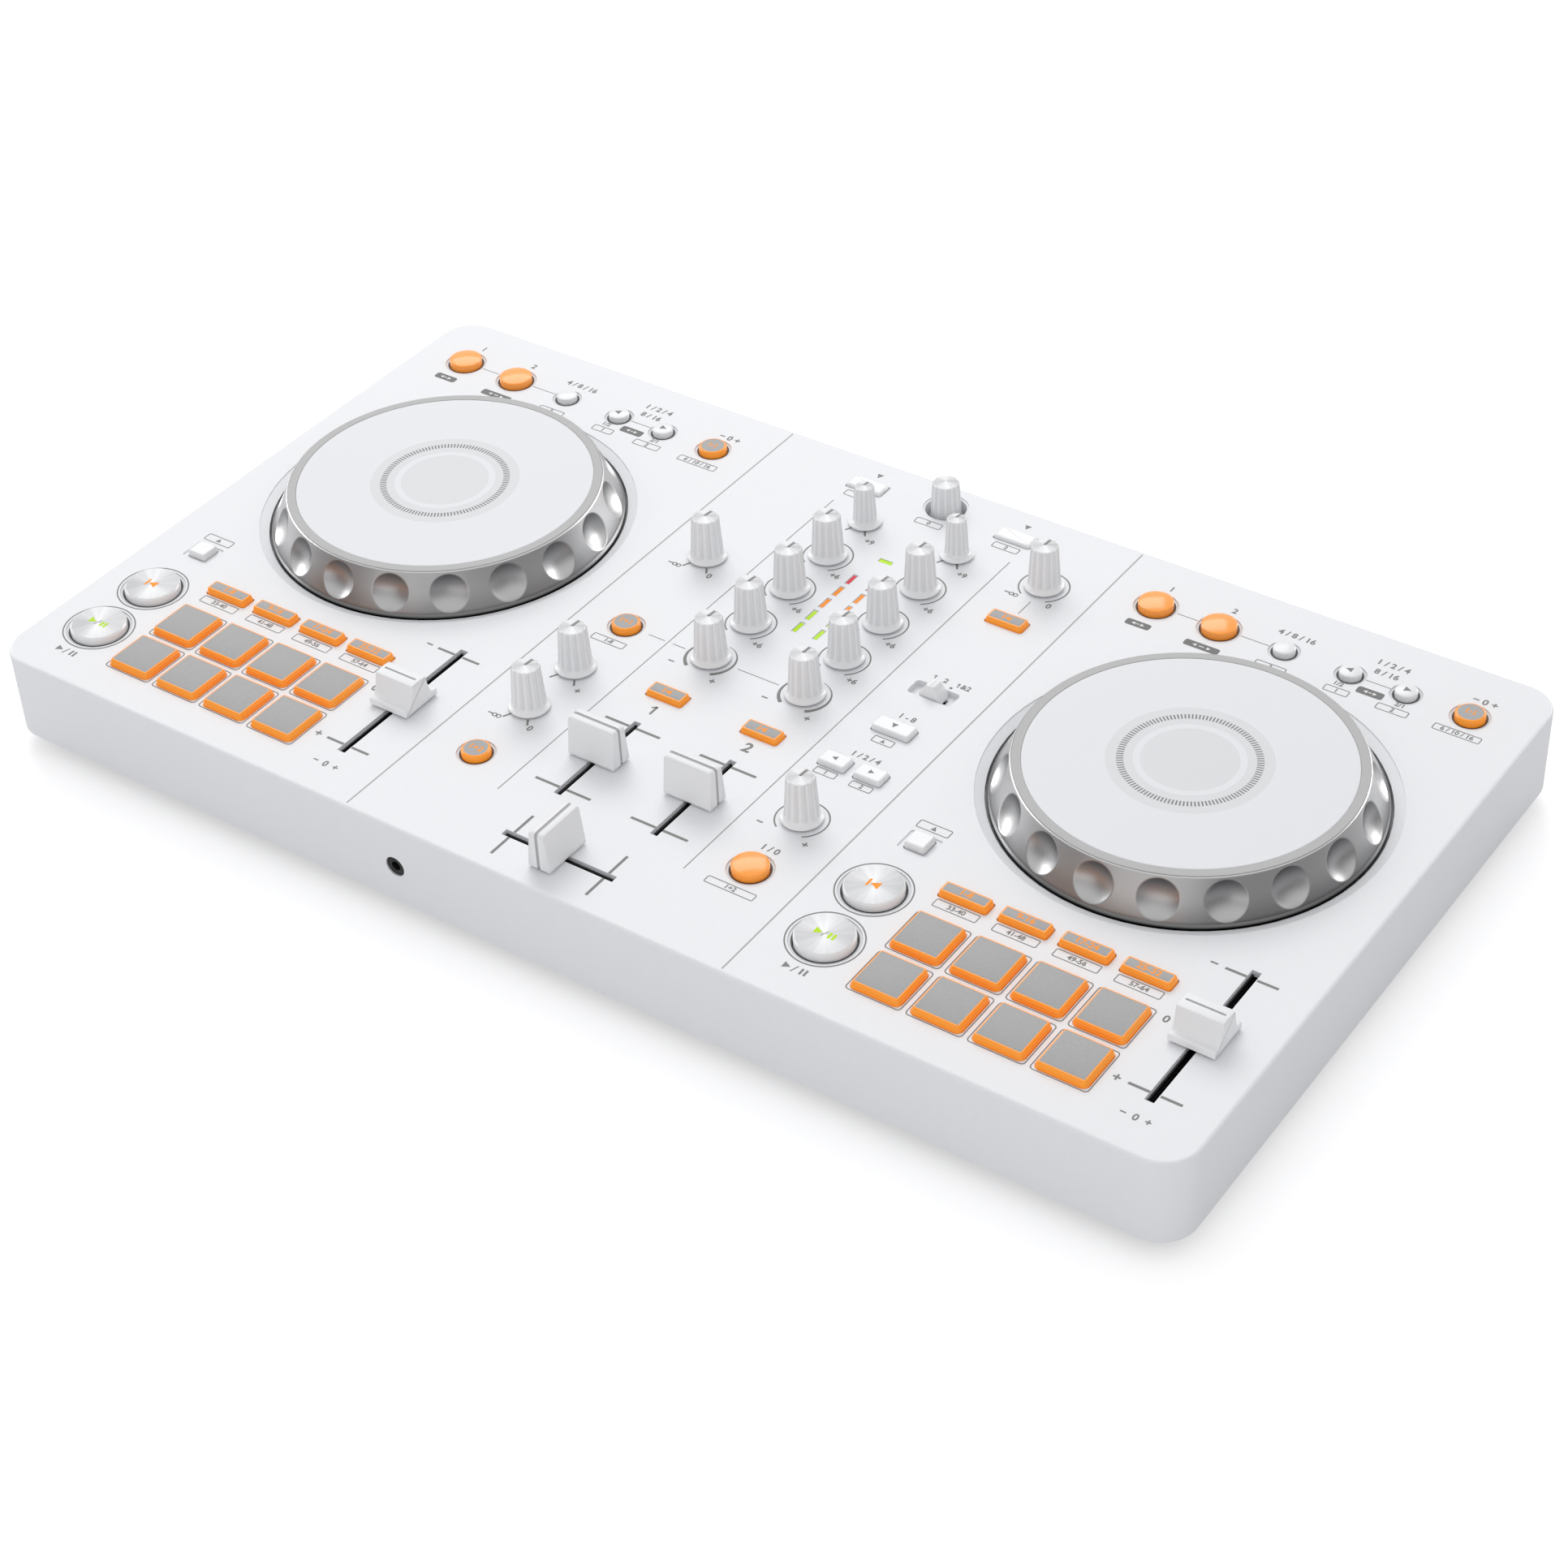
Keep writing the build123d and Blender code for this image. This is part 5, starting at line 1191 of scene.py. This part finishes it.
def numeralOne(x, y, size):
    # a stem and a flag, bolder than the built-in font's numeral
    stem, top = x + 0.06 * size, y + 0.34 * size
    return [inkLine(stem, y - 0.35 * size, stem, top, 0.13 * size),
            inkLine(stem - 0.24 * size, top - 0.2 * size, stem, top - 0.03 * size, 0.1 * size)]


# on the mixer: ticks and crossTicks are repeated for both faders, and each of ones is (x, y, size)
mixerMarks = {
    "ticks": [(near, y, far, y, 1.1) for y in (-48.2, -87.2) for near, far in ((1.5, 11.6), (-11.6, -1.5))],
    "crossTicks": [(-103.9, -113.9), (-116.9, -126.4)],
    "frames": [(0, 107.9, 10.9, 3.2), (-57.0, -12.8, 14.0, 3.2), (57.0, -9.5, 8.0, 3.2), (49.85, -33.8, 8.4, 3.0),
               (64.15, -33.8, 8.4, 3.0), (57.0, -99.0, 18.9, 3.1)],
    "lines": [(x1, -2.2, x2, -2.2) for x1, x2 in ((-47.0, -40.0), (-36.5, -31.0), (-8.5, 9.0))]
    + [(57.6, 77.0, 57.6, 85.5)],
    "ones": [(-19.8, -36.8, 6.8), (52.5, 30.2, 3.4), (62.0, 30.2, 3.4)],
}


def mixerPrint():
    s, thin = mixerMarks, inkStyle["thin"]
    grey = [lettering(text, size, x, y) for text, size, x, y in mixerLabels]
    for sign in (-1, 1):
        grey += [inkLine(sign * 38.5, -99.0, sign * 38.5, 102.4, thin), inkFrame(sign * 32.5, 109.4, 10.6, 3.2),
                 inkTriangle(sign * 32.5, 124.8, 1.6, 270)]
        grey += [inkLine(sign * 20.0 + x1, y1, sign * 20.0 + x2, y2, width) for x1, y1, x2, y2, width in s["ticks"]]
        grey += [inkLine(sign * 19.5, y1, sign * 19.5, y2, 1.05) for y1, y2 in s["crossTicks"]]
    grey += [inkLine(0, -110.2, 0, -113.6, 0.9), inkTriangle(57.0, -9.7, 1.1, 90),
             inkFill(arcPath(60.6, 27.7, 0.6, 0, 330, 30))]
    grey += [inkFrame(*frame) for frame in s["frames"]] + [inkLine(*line, thin) for line in s["lines"]]
    return grey + [mesh for one in s["ones"] for mesh in numeralOne(*one)]


deckInk = [deckPrint(sign) for sign in deckSides.values()]
grey, dark, pale = ([mesh for prints in deckInk for mesh in prints[number]] for number in range(3))
makePiece("panelPrint", "chassis", [("ink", grey + knobPrint() + mixerPrint()), ("inkDark", dark),
                                    ("inkWhite", pale)], "white_shell")
dividerStyle = {"x": 77.0, "end": 131.6, "line": 0.5}
dividers = [inkLine(sign * dividerStyle["x"], -dividerStyle["end"], sign * dividerStyle["x"], dividerStyle["end"],
                    dividerStyle["line"]) for sign in deckSides.values()]
makePiece("dividerPrint", "chassis", [("inkPale", dividers)], "white_shell")
print("printing made")


def makeStage(s):
    size, drop = s["floorSize"], cadBounds[0][2]
    mesh = bpy.data.meshes.new("studioFloor")
    mesh.from_pydata([(-size, -size, drop), (size, -size, drop), (size, size, drop), (-size, size, drop)], [],
                     [(0, 1, 2, 3)])
    floor = bpy.data.objects.new("studioFloor", mesh)
    bpy.context.scene.collection.objects.link(floor)
    material = bpy.data.materials.new("paleFloor")
    material.use_nodes = True
    tree = material.node_tree
    tree.nodes.clear()
    diffuse = addNode(tree, "BsdfDiffuse", {"Color": (*s["floorColour"], 1)}).outputs[0]
    camera = addNode(tree, "LightPath").outputs["Is Camera Ray"]
    lift = addNode(tree, "Emission", {"Strength": mathNode(tree, "MULTIPLY", camera, s["floorLift"])}).outputs[0]
    both = addNode(tree, "AddShader", {0: diffuse, 1: lift}).outputs[0]
    addNode(tree, "OutputMaterial", {"Surface": both})
    mesh.materials.append(material)
    world = bpy.data.worlds.new("studio")
    bpy.context.scene.world = world
    world.use_nodes = True
    makeSky(world.node_tree, s)


def makeSky(tree, s):
    # the camera sees plain white; soft light and mirrored surfaces see skies of their own
    tree.nodes.clear()
    parts = separate(tree, addNode(tree, "TexCoord").outputs["Generated"])
    ray = addNode(tree, "LightPath").outputs

    def skyRamp(stops):
        node = addNode(tree, "ValToRGB", {0: parts[2]})
        ramp = node.color_ramp
        ramp.interpolation = "B_SPLINE"
        while len(ramp.elements) < len(stops):
            ramp.elements.new(0.5)
        for element, (position, value) in zip(ramp.elements, stops):
            element.position, element.color = position, (value, value, value, 1)
        return node.outputs[0]

    # mirrored surfaces see a dark studio in front of the player and a bright one overhead and behind
    right, forward = s["towardsCamera"]
    towards = mathNode(tree, "ADD", mathNode(tree, "MULTIPLY", parts[0], right),
                       mathNode(tree, "MULTIPLY", parts[1], forward))
    low, high = s["frontEdge"]
    front = addNode(tree, "MapRange", {"Value": towards, "From Min": low, "From Max": high},
                    interpolation_type="SMOOTHSTEP").outputs[0]
    mirrored = mixColour(tree, front, skyRamp(s["mirrorBack"]), skyRamp(s["mirrorFront"]))
    rightward = mathNode(tree, "MULTIPLY", mathNode(tree, "MAXIMUM", parts[0], 0.0), s["rightLoss"])
    soft = tinted(tree, skyRamp(s["sky"]), mathNode(tree, "SUBTRACT", 1.0, rightward))
    light = addNode(tree, "Background", {"Color": mixColour(tree, ray["Is Glossy Ray"], soft, mirrored)}).outputs[0]
    white = addNode(tree, "Background", {"Color": (1, 1, 1, 1)}).outputs[0]
    choose = addNode(tree, "MixShader", {0: ray["Is Camera Ray"], 1: light, 2: white}).outputs[0]
    addNode(tree, "OutputWorld", {"Surface": choose})


def addLamp(name, settings):
    lamp = bpy.data.lights.new(name, "AREA")
    lamp.shape = "RECTANGLE"
    lamp.size, lamp.size_y = settings["size"]
    lamp.energy = settings["power"]
    holder = bpy.data.objects.new(name, lamp)
    bpy.context.scene.collection.objects.link(holder)
    holder.location = settings["place"]
    holder.visible_diffuse = not settings.get("gloss", False)
    aim = Vector(settings["aim"]) - Vector(settings["place"])
    holder.rotation_euler = aim.to_track_quat("-Z", "Y").to_euler()


studioStyle = {"floorSize": 6.0, "floorColour": (0.8, 0.8, 0.81), "floorLift": 0.44,
               "sky": [(0.0, 0.8), (0.35, 0.74), (1.0, 0.74)], "rightLoss": 0.08,
               "mirrorFront": [(0.0, 0.06), (0.2, 0.22), (0.45, 0.65), (0.7, 1.6), (1.0, 1.6)],
               "mirrorBack": [(0.0, 0.8), (0.15, 1.7), (0.5, 1.5), (1.0, 1.0)], "frontEdge": (-0.5, 0.1),
               "towardsCamera": (0.593, -0.805)}
lampStyles = {
    "keySoftbox": {"size": (1.6, 1.2), "power": 17.0, "place": (-0.9, 1.1, 1.5), "aim": (0, 0, 0)},
    "frontFill": {"size": (2.4, 0.6), "power": 6.0, "place": (0.5, -2.2, 0.25), "aim": (0, 0, 0)},
    "rearStrip": {"size": (1.4, 0.5), "power": 18.0, "place": (0.75, 1.9, 0.6), "aim": (0.1, 0, 0), "gloss": True},
    "leftStrip": {"size": (1.4, 0.5), "power": 18.0, "place": (-2.1, 0.0, 0.6), "aim": (0, 0, 0), "gloss": True},
}
makeStage(studioStyle)
for name, settings in lampStyles.items():
    addLamp(name, settings)


cameraStyle = {"lens": 74.93, "sensor": 36.0, "place": (543.3, -727.6, 684.9), "aim": (41.49, -46.06, 0.0),
               "roll": -2.77}


def makeCamera(s):
    camera = bpy.data.cameras.new("camera")
    camera.lens = s["lens"]
    camera.sensor_width = s["sensor"]
    holder = bpy.data.objects.new("camera", camera)
    bpy.context.scene.collection.objects.link(holder)
    place = Vector(np.array(s["place"]) * toMetres + panelCentre)
    aim = Vector(np.array(s["aim"]) * toMetres + panelCentre)
    turn = (aim - place).to_track_quat("-Z", "Y").to_matrix().to_4x4()
    holder.matrix_world = Matrix.Translation(place) @ turn @ Matrix.Rotation(math.radians(s["roll"]), 4, "Z")
    bpy.context.scene.camera = holder


makeCamera(cameraStyle)
bpy.context.scene.view_settings.view_transform = "Standard"

bpy.context.view_layer.update()
